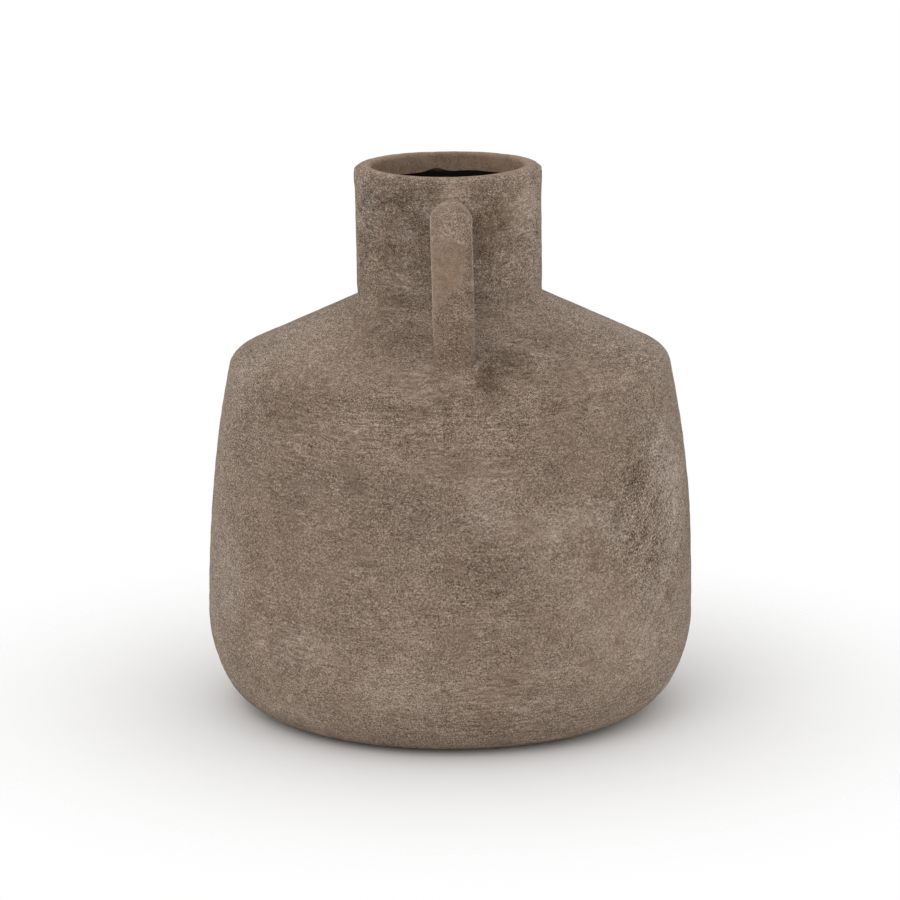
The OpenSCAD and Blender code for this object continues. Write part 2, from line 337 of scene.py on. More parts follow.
class VaseForm(bpy.types.PropertyGroup):
    """Sizes of the vase as it is drawn. What the frame's boxes show is read from them."""

    body_radius: length("Body radius", "Largest radius of the body", high("belly_section").x)
    widest_z: length("Widest height", "Height of the widest ring", 50 * MM)
    belly_r: length("Belly curve", "Radius of the curve under the widest ring", 71 * MM)
    heel_r: length("Heel curve", "Radius of the curve that turns under to the standing face", 30.5 * MM)
    side_r: length("Side curve", "Radius of the long curve above the widest ring", 690 * MM)
    wall: length("Wall", "Thickness of the clay wall", 8.4 * MM)
    floor_t: length("Floor", "Thickness of the floor", low("sealing_coat").z)
    slope: rotation("Shoulder slope", "Fall of the shoulder", 25.3)
    edge_r: length("Shoulder edge", "Radius of the edge between wall and shoulder", 9 * MM)
    least_edge_r: length("Least edge", "Smallest radius of that edge inside", 0.5 * MM)
    neck_radius: length("Neck radius", "Outside radius of the neck", high("neck_collar").x)
    neck_z: length("Neck height", "Height at which shoulder and neck meet", 213.7 * MM)
    neck_fillet: length("Neck corner", "Radius of the hollow corner under the neck", 3 * MM)
    height: length("Height", "Height of the whole vase", high("rim_coil").z)
    lip_proud: length("Lip", "How far the lip stands out", high("rim_coil").x - high("neck_collar").x)
    lip_r: length("Lip edge", "Radius of the outer edge of the lip", 4.3 * MM)
    mouth_edge_r: length("Mouth edge", "Radius of the inner edge of the lip", 2 * MM)
    base_joint_z: length("Base joint", "Height of the joint of base and belly", high("base_dish").z)
    waist_z: length("Waist joint", "Height of the joint of belly and wall", high("belly_section").z)
    shoulder_joint_z: length(
        "Shoulder joint", "Height of the joint under the shoulder", high("wall_section").z
    )
    neck_joint_z: length("Neck joint", "Height of the joint under the neck", high("shoulder_section").z)
    rim_joint_z: length("Rim joint", "Height of the joint under the rim", high("neck_collar").z)
    tongue_w: length("Tongue width", "Width of the tongue under each section", 2.6 * MM)
    tongue_h: length(
        "Tongue height", "Height of that tongue", high("belly_section").z - low("wall_section").z
    )
    slip_t: length("Slip", "Thickness of the slip in a joint", 0.6 * MM)
    strap_w: length("Strap width", "Width of the handle", high("strap_handle").x - low("strap_handle").x)
    strap_t: length("Strap thickness", "Thickness of the handle", 11 * MM)
    strap_edge_r: length("Strap edge", "Radius of the handle's long edges", 4 * MM)
    strap_top_z: length("Strap top", "Height of the top of the handle", high("strap_handle").z)
    strap_front_y: length("Strap front", "Reach of the handle from the axis", -low("strap_handle").y)
    bend_r: length("Bend", "Radius of the handle's bend at mid thickness", 15 * MM)
    wad_spread: length("Wad spread", "How far the clay at a root spreads on the pot", 3 * MM)
    wad_rise: length("Wad rise", "How far that clay rises along the strap", 1.4 * MM)
    coat_t: length("Coat", "Thickness of the dark lining", 1 * MM)
    coat_top_z: length("Coat top", "Height of the upper edge of the lining", high("sealing_coat").z)
    turn_steps: count("Turn steps", "Faces round the pot", 512)
    coat_steps: count("Coat steps", "Faces round the lining", 320)
    skin_pitch: length("Skin pitch", "Distance of the mesh lines on the outer skin", 1.3 * MM)
    inner_pitch: length("Inner pitch", "Distance of the mesh lines inside", 6 * MM)


class VaseHand(bpy.types.PropertyGroup):
    """What the maker's hand leaves: leaning, swelling, trowel strokes and lumps."""

    neck_lean: length("Neck lean", "Sideways lean of the neck at its top", -0.95 * MM)
    edge_tilt: length("Edge tilt", "Rise of the shoulder edge on the right", 0.75 * MM)
    neck_tilt: length("Neck tilt", "Rise of the foot of the neck on the right", 0.95 * MM)
    neck_swell: length("Neck swell", "Swelling of the left side of the neck", 0.4 * MM)
    neck_swell_rise: length("Neck swell rise", "Height over which that swelling starts", 10 * MM)
    lip_flare: length("Lip flare", "Height over which the neck widens to the lip", 9 * MM)
    rim_tilt: length("Rim tilt", "Rise of the rim on the right", 0.4 * MM)
    rim_dip: length("Rim dip", "Fall of the rim at the front", 0.65 * MM)
    swell: length("Swell", "Swelling of the right wall", 0.9 * MM)
    swell_z: length("Swell height", "Height of that swelling", 112 * MM)
    swell_span: length("Swell span", "Reach of that swelling up and down", 42 * MM)
    sway_size: length("Sway size", "Width of the broad waves of the wall", 58 * MM)
    sway_height: length("Sway height", "Height of the broad waves", 0.35 * MM)
    stroke_size: length("Stroke size", "Length of a trowel stroke", 15 * MM)
    stroke_height: length("Stroke height", "Depth of a trowel stroke", 0.16 * MM)
    stroke_stretch: number("Stroke stretch", "Length of a stroke over its width", 3)
    lump_size: length("Lump size", "Width of the small lumps", 4.5 * MM)
    lump_height: length("Lump height", "Height of the small lumps", 0.09 * MM)
    leg_crown: length("Leg crown", "Rounding of the handle's outer face at its foot", 2.5 * MM)
    bend_crown: length("Bend crown", "Rounding of the handle's outer face at its bend", 6.2 * MM)
    arm_crown: length("Arm crown", "Rounding of the handle's outer face at the neck", 6.5 * MM)
    arm_taper: number("Arm taper", "Width of the handle at the neck over its full width", 0.8)
    arm_thin: length("Arm thinning", "Loss of the handle's thickness at the neck", 1.2 * MM)
    bend_drop: length("Bend drop", "Fall of the handle at the end of its bend", 0.8 * MM)
    arm_sag: length("Arm sag", "Fall of the handle at the neck", 5.2 * MM)
    strap_shift_top: length("Strap top shift", "Sideways place of the handle at its top", 0.2 * MM)
    strap_shift_root: length("Strap root shift", "Further sideways place at the neck", 0.6 * MM)
    strap_shift_foot: length("Strap foot shift", "Sideways place of the handle at its foot", 2.5 * MM)
    coat_wave: length("Coat wave", "Height of the waves in the lining's edge", 0.35 * MM)
    coat_tilt: length("Coat tilt", "Rise of the lining's edge on the right", 0.9 * MM)
    coat_rise: length("Coat rise", "Rise of the lining's edge all round", 0.3 * MM)
    coat_droop: length("Coat droop", "Fall of the lining's edge at both sides", 1.4 * MM)
    coat_hump: length("Coat hump", "Height of the hump in the lining's edge", 1.9 * MM)
    coat_hump_turn: rotation("Coat hump turn", "Place of that hump round the axis", 99)
    coat_hump_span: rotation("Coat hump span", "Reach of that hump to both sides", 7)
    coat_brush: length("Coat brush", "Depth over which the lining's edge is brushed out", 14 * MM)
    coat_feather: number("Coat feather", "Share of the lining's thickness that is lost at its edge", 0.85)
    foot_hollow: length("Foot hollow", "Depth of the hollow in the underside", 0.6 * MM)
    foot_ring: length("Foot ring", "Width of the ring that the vase stands on", 9 * MM)
    wire_pitch: length("Wire pitch", "Distance of the cutting marks on the underside", 3.6 * MM)
    wire_depth: length("Wire depth", "Depth of the cutting marks", 0.12 * MM)


class VaseLook(bpy.types.PropertyGroup):
    """Colours of the finishes, and how strongly the marks in them show."""

    wash_deep: colour("Deep wash", "Wash in the pits of the clay", (73, 57, 45))
    wash_dark: colour("Dark wash", "Wash where it lies thick", (113, 96, 81))
    wash_pale: colour("Pale wash", "Wash where it is rubbed thin", (153, 134, 118))
    wash_chalk: colour("Chalky wash", "Dry, greyish specks of the wash", (193, 178, 164))
    cool_tint: colour("Cool tint", "Tint of the cooler places", (241, 249, 255))
    warm_tint: colour("Warm tint", "Tint of the warmer places", (255, 248, 239))
    bare_clay: colour("Bare clay", "Smooth fired clay without wash", (153, 130, 111))
    clay_speck: colour("Clay speck", "Grit in the bare clay", (124, 104, 87))
    coat: colour("Lining", "Dark lining", (6, 4, 3))
    coat_thin: colour("Thin lining", "Lining where it was brushed thin", (22, 15, 10))
    coat_edge: colour("Lining edge", "Smear at the upper edge of the lining", (62, 47, 36))
    slip: colour("Slip", "Fired slip in the joints", (143, 120, 100))
    floor: colour("Floor", "Pale floor", (246, 246, 245))
    contrast: number("Contrast", "Contrast of the whole wash", 0.4)
    speck: number("Specks", "Strength of the finest specks", 5.8)
    coarse_speck: number("Coarse specks", "Strength of the specks on the flanks over the others", 1.15)
    dragged_speck: number("Dragged specks", "Strength of the specks on the right over the others", 1.3)
    pit: number("Pits", "Strength of the pits", 2.4)
    stroke: number("Strokes", "Strength of the brush strokes", 2)
    slant: number("Slanted strokes", "Strength of the slanted strokes over the level ones", 0.6)
    cloud: number("Clouds", "Strength of the clouds", 0.9)
    broad: number("Broad clouds", "Strength of the broad clouds", 0.6)
    clump: number("Clumps", "Strength of the clumps towards the flanks", 0.8)
    chalk: number("Chalk", "Strength of the chalky clusters on neck and handle", 0.45)
    calm: number("Calm", "Share of the grit that is lost in the calm places", 0.45)
    strap_brushing: number("Strap brushing", "Strength of the strokes on the handle over the others", 0.3)
    strap_grit: number("Strap grit", "Strength of the grit on the handle over that on the pot", 0.82)
    tint: number("Tints", "Strength of the cool and warm places", 1.1)
    flank_tint: number("Flank tint", "Coolness of the flanks", 0.13)
    # Also sets how pale the painted highlight on the bend's crest is
    wear_and_highlight_line: number("Worn line", "Paleness of the handle's worn edges", 0.5)
    speck_height: number("Speck height", "Height of the specks in millimetres", 0.12)
    pit_height: number("Pit height", "Depth of the pits in millimetres", 0.2)
    stroke_height: number("Stroke height", "Height of the brush strokes in millimetres", 0.25)
    wash_roughness: number("Wash roughness", "Roughness of the wash", 0.9)
    stroke_polish: number("Stroke polish", "Loss of roughness on the brush strokes", 0.12)
    bare_polish: number("Bare polish", "Loss of roughness on the bare clay", 0.12)
    rub_polish: number("Rub polish", "Loss of roughness on the rubbed handle", 0.15)
    coat_roughness: number("Lining roughness", "Roughness of the lining", 0.55)
    slip_roughness: number("Slip roughness", "Roughness of the slip", 0.88)
    clay_gloss: number("Clay gloss", "Specular level of the clay and the slip", 0.2)
    coat_gloss: number("Lining gloss", "Specular level of the lining", 0.12)
    clay_diffuse: number("Clay diffusion", "Diffuse roughness of the washed clay", 0.6)


def arc(centre, radius, start, end, pitch):
    """Points on an arc, at most a pitch apart, with both ends."""
    steps = max(4, math.ceil(abs(end - start) * radius / pitch))
    angles = [start + (end - start) * i / steps for i in range(steps + 1)]
    return [centre + radius * Vector((math.cos(a), math.sin(a))) for a in angles]


def straight(start, end, pitch):
    """Points on a line, at most a pitch apart, without its ends."""
    steps = max(1, math.ceil((end - start).length / pitch))
    return [start.lerp(end, i / steps) for i in range(1, steps)]


def smooth_step(value):
    """Eases a share from 0 to 1."""
    share = np.clip(value, 0, 1)
    return share * share * (3 - 2 * share)


def skin_line(form, depth, floor_z, pitch):
    """Outline of the pot at a depth under its outer surface, from the floor up, as radius and height."""
    normal = Vector((math.sin(form.slope), math.cos(form.slope)))
    fall = Vector((math.cos(form.slope), -math.sin(form.slope)))
    belly_c = Vector((form.body_radius - form.belly_r, form.widest_z))
    side_c = Vector((form.body_radius - form.side_r, form.widest_z))
    corner_rise = form.neck_fillet * (1 - math.sin(form.slope)) / math.cos(form.slope)
    neck_c = Vector((form.neck_radius + form.neck_fillet, form.neck_z + corner_rise))

    heel_a = math.asin((form.widest_z - floor_z - form.heel_r + depth) / (form.belly_r - form.heel_r))
    heel_c = belly_c + (form.belly_r - form.heel_r) * Vector((math.cos(heel_a), -math.sin(heel_a)))
    edge_r = max(form.edge_r - depth, form.least_edge_r)
    inset = depth + edge_r
    start = normal * (normal.dot(Vector((form.neck_radius, form.neck_z))) - inset)
    reach = (start - side_c).dot(fall)
    root = reach**2 - (start - side_c).length_squared + (form.side_r - inset) ** 2
    edge_c = start + (math.sqrt(root) - reach) * fall
    side_a = math.atan2(edge_c.y - side_c.y, edge_c.x - side_c.x)

    line = arc(heel_c, form.heel_r - depth, -math.pi / 2, -heel_a, pitch)
    line += arc(belly_c, form.belly_r - depth, -heel_a, 0, pitch)[1:]
    line += arc(side_c, form.side_r - depth, 0, side_a, pitch)[1:]
    line += arc(edge_c, edge_r, side_a, math.pi / 2 - form.slope, pitch)[1:]
    neck = arc(neck_c, form.neck_fillet + depth, 1.5 * math.pi - form.slope, math.pi, pitch)
    line += straight(line[-1], neck[0], pitch) + neck
    top = Vector((form.neck_radius - depth, form.height))
    return line + straight(line[-1], top, pitch) + [top]


def outer_line(form):
    """Outline of the outer surface."""
    return skin_line(form, 0, 0, form.skin_pitch)


def inner_line(form):
    """Outline of the clay's inner surface."""
    return skin_line(form, form.wall, form.floor_t, form.inner_pitch)


def radius_at(line, z):
    """Radius of an outline at a height."""
    return float(np.interp(z, [p.y for p in line], [p.x for p in line]))


def stretch(line, bottom, top):
    """The part of an outline between two heights, with a point at each."""
    middle = [p for p in line if bottom + CLOSE < p.y < top - CLOSE]
    return [Vector((radius_at(line, bottom), bottom)), *middle, Vector((radius_at(line, top), top))]


def key_line(form, z, margin):
    """Outline of the tongue at a joint or, with a margin for the slip, of the groove."""
    middle = (radius_at(outer_line(form), z) + radius_at(inner_line(form), z)) / 2
    out = middle + form.tongue_w / 2 + margin
    back = middle - form.tongue_w / 2 - margin
    deep = z - form.tongue_h - margin
    return [Vector(p) for p in ((out, z), (out, deep), (back, deep), (back, z))]


def ring_line(form, bottom, top):
    """Closed outline of a wall section with a tongue below and a groove above."""
    line = stretch(outer_line(form), bottom, top)
    line += key_line(form, top, form.slip_t)
    line += stretch(inner_line(form), bottom, top)[::-1]
    line += key_line(form, bottom, 0)[::-1]
    return line + line[:1]


def base_line(form):
    """Outline of the base from the middle of the standing face to the middle of the floor."""
    foot = stretch(outer_line(form), 0, form.base_joint_z)
    floor = stretch(inner_line(form), form.floor_t, form.base_joint_z)[::-1]
    centre, middle = Vector((0, 0)), Vector((0, form.floor_t))
    line = [centre] + straight(centre, foot[0], form.inner_pitch / 2) + foot
    line += key_line(form, form.base_joint_z, form.slip_t) + floor
    return line + straight(floor[-1], middle, form.inner_pitch) + [middle]


def rim_line(form):
    """Closed outline of the coil that forms the lip, with its tongue."""
    mouth = form.neck_radius - form.wall
    pitch = form.skin_pitch / 3
    lip_c = Vector((form.neck_radius + form.lip_proud - form.lip_r, form.height - form.lip_r))
    mouth_c = Vector((mouth + form.mouth_edge_r, form.height - form.mouth_edge_r))
    joint = Vector((form.neck_radius + form.lip_proud, form.rim_joint_z))
    lip = arc(lip_c, form.lip_r, 0, math.pi / 2, pitch)
    edge = arc(mouth_c, form.mouth_edge_r, math.pi / 2, math.pi, pitch)
    inner = Vector((mouth, form.rim_joint_z))
    line = [joint] + straight(joint, lip[0], pitch) + lip + straight(lip[-1], edge[0], pitch) + edge
    line += straight(edge[-1], inner, form.skin_pitch) + [inner]
    line += key_line(form, form.rim_joint_z, 0)[::-1]
    return line + line[:1]


def coat_line(form):
    """Outline of the lining from the middle of the clay floor up to its edge and down to its own floor."""
    depth, floor_z = form.wall + form.coat_t, form.floor_t + form.coat_t
    pitch = form.inner_pitch / 2
    outside = stretch(skin_line(form, form.wall, form.floor_t, pitch), form.floor_t, form.coat_top_z)
    inside = stretch(skin_line(form, depth, floor_z, pitch), floor_z, form.coat_top_z)[::-1]
    under, middle = Vector((0, form.floor_t)), Vector((0, floor_z))
    line = [under] + straight(under, outside[0], pitch) + outside + inside
    return line + straight(inside[-1], middle, pitch) + [middle]


def strap_section(form, hand, x, out, turned):
    """A point of the strap's square section, moved to the crowned section at a place along the strap.

    The place along the strap runs from the leg over the end of the bend, at 1, to the neck.
    """
    crown = hand.leg_crown + smooth_step(turned) * (hand.bend_crown - hand.leg_crown)
    crown = crown + smooth_step(turned - 1) * (hand.arm_crown - hand.bend_crown)
    narrowed = smooth_step((turned - NARROWING) / (AT_NECK - NARROWING))
    width = 1 - narrowed * (1 - hand.arm_taper)
    across = x / (form.strap_w / 2)
    drop = crown * across**2 + hand.arm_thin * smooth_step(turned - 1)
    return x * width, out - drop * np.clip(out / form.strap_t + 0.5, 0, 1)


def strap_outline(form, hand, turned, pitch):
    """Outline of the strap's section as pairs of a point and its outward direction."""
    r = form.strap_edge_r
    half = Vector((form.strap_w / 2 - r, form.strap_t / 2 - r))
    plain = []
    for quarter, (x, y) in enumerate(((1, 1), (-1, 1), (-1, -1), (1, -1))):
        centre = Vector((x * half.x, y * half.y))
        start = quarter * math.pi / 2
        plain += arc(centre, r, start, start + math.pi / 2, pitch)
        end = Vector((-centre.x, centre.y)) if quarter % 2 == 0 else Vector((centre.x, -centre.y))
        plain += straight(plain[-1], end + plain[-1] - centre, pitch)
    points = [Vector(strap_section(form, hand, p.x, p.y, turned)) for p in plain]
    pairs = []
    for i, point in enumerate(points):
        along = points[(i + 1) % len(points)] - points[i - 1]
        pairs.append((point, Vector((along.y, -along.x)).normalized()))
    return pairs


def edit(obj):
    """Selects one object alone and opens its mesh for editing, all selected."""
    bpy.ops.object.select_all(action="DESELECT")
    obj.select_set(True)
    bpy.context.view_layer.objects.active = obj
    bpy.ops.object.mode_set(mode="EDIT")
    bpy.ops.mesh.select_all(action="SELECT")


def close_up():
    """Merges double points, turns the faces outwards and closes the mesh for editing."""
    bpy.ops.mesh.select_all(action="SELECT")
    bpy.ops.mesh.remove_doubles(threshold=CLOSE)
    bpy.ops.mesh.normals_make_consistent(inside=False)
    bpy.ops.object.mode_set(mode="OBJECT")


def turn(name, line, steps):
    """Draws an outline by extruding one point along it, and spins it round the axis of the pot."""
    bpy.ops.object.select_all(action="DESELECT")
    bpy.ops.mesh.primitive_plane_add(size=MM, location=(0, 0, 0))
    obj = bpy.context.object
    obj.name = obj.data.name = name
    edit(obj)
    bpy.ops.mesh.merge(type="CENTER")
    bpy.ops.transform.translate(value=(line[0].x, 0, line[0].y))
    for here, there in zip(line, line[1:]):
        step = (there.x - here.x, 0, there.y - here.y)
        bpy.ops.mesh.extrude_vertices_move(TRANSFORM_OT_translate={"value": step})
    bpy.ops.mesh.select_all(action="SELECT")
    bpy.ops.mesh.remove_doubles(threshold=CLOSE)
    part = 2 * math.pi / SLICES
    bpy.ops.mesh.spin(steps=steps // SLICES, angle=part, center=(0, 0, 0), axis=(0, 0, 1))
    bpy.ops.mesh.select_all(action="SELECT")
    bpy.ops.mesh.spin(
        steps=SLICES - 1, dupli=True, angle=2 * math.pi - part, center=(0, 0, 0), axis=(0, 0, 1)
    )
    close_up()
    return obj


def points_of(obj):
    """Vertices of a mesh as an array."""
    points = np.empty(len(obj.data.vertices) * 3, np.float32)
    obj.data.vertices.foreach_get("co", points)
    return points.reshape(-1, 3).astype(float)


def move_points(obj, points):
    """Puts an array of vertices back into a mesh."""
    obj.data.vertices.foreach_set("co", points.astype(np.float32).ravel())
    obj.data.update()


def lean(form, hand, points):
    """Shift of points of the pot, because its neck leans, its shoulder tilts and its sides swell."""
    x, y, z = points.T
    r = np.maximum(np.hypot(x, y), CLOSE)
    rise = smooth_step((z - form.neck_z) / (form.height - form.neck_z))
    reach = np.exp(-(((z - hand.swell_z) / hand.swell_span) ** 2))
    swell = hand.swell * np.clip(x / r, 0, 1) ** 2 * reach
    up_neck = smooth_step((z - form.neck_z) / hand.neck_swell_rise)
    swell = swell + hand.neck_swell * np.clip(-x / r, 0, 1) ** 2 * up_neck
    heights = (form.waist_z, form.shoulder_joint_z, form.neck_z, form.height)
    tilt = np.interp(z, heights, (0, hand.edge_tilt, hand.neck_tilt, hand.rim_tilt)) * x / r
    tilt = tilt - np.interp(z, heights, (0, 0, 0, hand.rim_dip)) * np.clip(-y / r, 0, 1) ** 2
    return np.stack((hand.neck_lean * rise + swell * x / r, swell * y / r, tilt), axis=1)


def relief(hand, point):
    """Height of the trowelled skin over the smooth form at a point."""
    flat = Vector((point.x, point.y, point.z * hand.stroke_stretch))
    height = hand.sway_height * noise.noise(point / hand.sway_size)
    height += hand.stroke_height * noise.noise(flat / hand.stroke_size)
    return height + hand.lump_height * noise.noise(point / hand.lump_size)


def outward(form, r, z):
    """Radial and upward part of the outer surface's normal beside points of the skin."""
    line = np.array([tuple(p) for p in outer_line(form)])
    along = np.gradient(line, axis=0)
    along /= np.linalg.norm(along, axis=1)[:, None]
    side = np.stack((np.interp(z, line[:, 1], along[:, 1]), np.interp(z, line[:, 1], -along[:, 0])), axis=1)
    lip_r = np.maximum(r - (form.neck_radius + form.lip_proud - form.lip_r), 0)
    lip_z = np.maximum(z - (form.height - form.lip_r), 0)
    lip = np.stack((lip_r, lip_z + CLOSE), axis=1)
    normal = np.where((z > form.rim_joint_z + CLOSE)[:, None], lip, side)
    return normal / np.linalg.norm(normal, axis=1)[:, None]


def shape_by_hand(obj, form, hand):
    """Moves the skin of a turned piece as the maker's hand leaves it. The keyed joints stay true."""
    points = points_of(obj)
    r, z = np.hypot(points[:, 0], points[:, 1]), points[:, 2]
    line = outer_line(form)
    depth = np.interp(z, [p.y for p in line], [p.x for p in line]) - r
    off_joint = abs(depth - form.wall / 2) - form.tongue_w / 2 - form.slip_t
    free = np.where(z > form.rim_joint_z + CLOSE, 1, np.clip(off_joint / SKIN, 0, 1))
    shift = lean(form, hand, points) * free[:, None]

    on_skin = np.clip(1 - depth / SKIN, 0, 1)
    mouth = form.neck_radius - form.wall
    on_lip = smooth_step((r - mouth) / LIP_EDGE) * (z > form.rim_joint_z + CLOSE)
    weight = np.maximum(on_skin, on_lip) * smooth_step(z / FOOT_EDGE)
    under_lip = on_skin * (r < form.neck_radius + CLOSE)
    flare = form.lip_proud * under_lip * smooth_step((z - form.rim_joint_z) / hand.lip_flare + 1)
    shift[:, :2] += points[:, :2] * (flare / np.maximum(r, CLOSE))[:, None]
    normal = outward(form, r, z)
    for i in np.flatnonzero(weight > 0):
        height = weight[i] * relief(hand, Vector(points[i]))
        round_x, round_y = points[i, :2] / r[i]
        shift[i] += height * np.array((normal[i, 0] * round_x, normal[i, 0] * round_y, normal[i, 1]))
    move_points(obj, points + shift)


def smooth(obj):
    """Shades a piece smooth, apart from its sharp edges."""
    bpy.ops.object.select_all(action="DESELECT")
    obj.select_set(True)
    bpy.context.view_layer.objects.active = obj
    bpy.ops.object.shade_smooth_by_angle(angle=SHARP_ANGLE)


def settle(obj, node, finish):
    """Finishes a piece, which stands for a frame node and rides on its body."""
    smooth(obj)
    obj.data.materials.clear()
    obj.data.materials.append(finish)
    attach(obj, BODY)
    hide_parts(node)


class Wire:
    """An output socket of a shader node. Sums and products on it add Math nodes."""

    def __init__(self, finish, socket):
        self.finish = finish
        self.socket = socket

    def maths(self, operation, *values):
        """A Math node with the given operation."""
        sockets = dict(enumerate(values))
        return self.finish.node("ShaderNodeMath", {"operation": operation}, sockets)

    def __add__(self, other):
        return self.maths("ADD", self, other)

    def __sub__(self, other):
        return self.maths("SUBTRACT", self, other)

    def __rsub__(self, other):
        return self.maths("SUBTRACT", other, self)

    def __mul__(self, other):
        return self.maths("MULTIPLY", self, other)

    def __truediv__(self, other):
        return self.maths("DIVIDE", self, other)

    __radd__ = __add__
    __rmul__ = __mul__

    def absolute(self):
        """The size of a value without its sign."""
        return self.maths("ABSOLUTE", self)


class Finish:
    """The node tree of a material or a world, and the steps that its finishes share."""

    def __init__(self, block):
        block.use_nodes = True
        self.tree = block.node_tree
        self.tree.nodes.clear()

    def node(self, kind, settings=None, sockets=None, result=0):
        """Adds a node of a kind: its settings first, then its values and links. Gives one output."""
        made = self.tree.nodes.new(kind)
        for key, value in (settings or {}).items():
            if key == "stops":
                self.set_stops(made.color_ramp, value)
            else:
                setattr(made, key, value)
        for key, value in (sockets or {}).items():
            socket = self.find(made.inputs, key)
            if isinstance(value, Wire):
                self.tree.links.new(value.socket, socket)
            else:
                socket.default_value = value
        return Wire(self, self.find(made.outputs, result)) if len(made.outputs) else made

    @staticmethod
    def find(sockets, key):
        """A socket by its place, its name or its identifier."""
        if isinstance(key, int):
            return sockets[key]
        return next(s for s in sockets if key in (s.identifier, s.name))

    @staticmethod
    def set_stops(ramp, stops):
        """Sets a colour ramp's stops, each a place and a colour."""
        while len(ramp.elements) < len(stops):
            ramp.elements.new(1)
        for element, (place, shade) in zip(ramp.elements, stops):
            element.position = place
            element.color = (*shade, 1)

    def place(self):
        """Where a point lies on the piece, in metres."""
        return self.node("ShaderNodeTexCoord", result="Object")

    def turned(self, place, centre=(0, 0, 0), angle=0, size=(1, 1, 1), facing=0):
        """A place seen from a centre, turned in the plane that faces a side, and measured in sizes."""
        if not (angle or facing):
            scale, shift = [1 / s for s in size], [-c / s for c, s in zip(centre, size)]
            sockets = {0: place, 1: scale, 2: shift}
            return self.node("ShaderNodeVectorMath", {"operation": "MULTIPLY_ADD"}, sockets)
        sockets = {"Vector": place, "Location": centre, "Rotation": (0, -angle, facing), "Scale": size}
        return self.node("ShaderNodeMapping", {"vector_type": "TEXTURE"}, sockets)

    def grain(self, place, name):
        """One of the named grains, a cloudy noise from about -0.5 to 0.5."""
        size, detail, rough, warp = GRAINS[name]
        sockets = {"Vector": place, "Scale": 1 / (size * MM), "Detail": detail}
        sockets |= {"Roughness": rough, "Distortion": warp}
        return self.node("ShaderNodeTexNoise", {}, sockets, "Fac") - 0.5

    def ease(self, value, start, end):
        """A share that eases from 0 at the start to 1 at the end."""
        sockets = {"Value": value, "From Min": start, "From Max": end}
        return self.node("ShaderNodeMapRange", {"interpolation_type": "SMOOTHSTEP"}, sockets)

    def mask(self, value, name):
        """One of the named masks, from 0 to 1."""
        return self.ease(value, *MASKS[name])

    def reach(self, value, name):
        """One of the named masks by place, from 0 to 1."""
        return self.ease(value, *(edge * MM for edge in REACHES[name]))

    def spot(self, place, centre, half, angle=0):
        """Distance of a place from a centre, counted in half sizes. Both are given in millimetres."""
        centre_m, half_m = [[c * MM for c in v] for v in (centre, half)]
        return self.span(self.turned(place, centre_m, math.radians(angle), half_m))

    def span(self, vector):
        """Length of a vector."""
        return self.node("ShaderNodeVectorMath", {"operation": "LENGTH"}, {0: vector}, "Value")

    def axis(self, vector, name):
        """One coordinate of a vector."""
        return self.node("ShaderNodeSeparateXYZ", {}, {0: vector}, name)

    def radius(self, place):
        """Distance of a place from the axis of the pot."""
        sockets = {0: place, 1: (1, 1, 0)}
        return self.span(self.node("ShaderNodeVectorMath", {"operation": "MULTIPLY"}, sockets))

    def ramp(self, value, stops):
        """Colour of a value between the stops of a ramp."""
        return self.node("ShaderNodeValToRGB", {"stops": stops}, {"Fac": value}, "Color")

    def mix(self, share, first, second, how="MIX"):
        """Two colours mixed by a share."""
        first, second = (c if isinstance(c, Wire) else (*c, 1) for c in (first, second))
        settings = {"data_type": "RGBA", "blend_type": how, "clamp_factor": True}
        sockets = {"Factor_Float": share, "A_Color": first, "B_Color": second}
        return self.node("ShaderNodeMix", settings, sockets, "Result_Color")

    def bump(self, height):
        """A normal from a height in millimetres."""
        return self.node("ShaderNodeBump", {}, {"Height": height, "Strength": 1.0, "Distance": MM})

    def surface(self, **sockets):
        """A Principled shader with these sockets, joined to the output."""
        named = {key.replace("_", " "): value for key, value in sockets.items()}
        shader = self.node("ShaderNodeBsdfPrincipled", {}, named)
        self.node("ShaderNodeOutputMaterial", {}, {"Surface": shader})


def new_finish(name):
    """A new material and its node tree."""
    material = bpy.data.materials.new(name)
    return material, Finish(material)


def patches(finish, place):
    """Tone and tint of the listed places where the wash lies thicker or thinner, and of the shade and shadow
    painted beside the handle.
    """
    ragged = PATCH_RAG * finish.grain(finish.turned(place, size=STRETCH["ragged"]), "ragged")
    tone, tint = 0, 0
    for centre, half, angle, paleness, coolness in BODY_PATCHES + NECK_WASH_AND_SHADE + HANDLE_WASH_AND_SHADE:
        share = finish.mask(finish.spot(place, centre, half, angle) + ragged, "patch")
        tone = share * paleness + tone
        if coolness:
            tint = share * coolness + tint
    return tone, tint


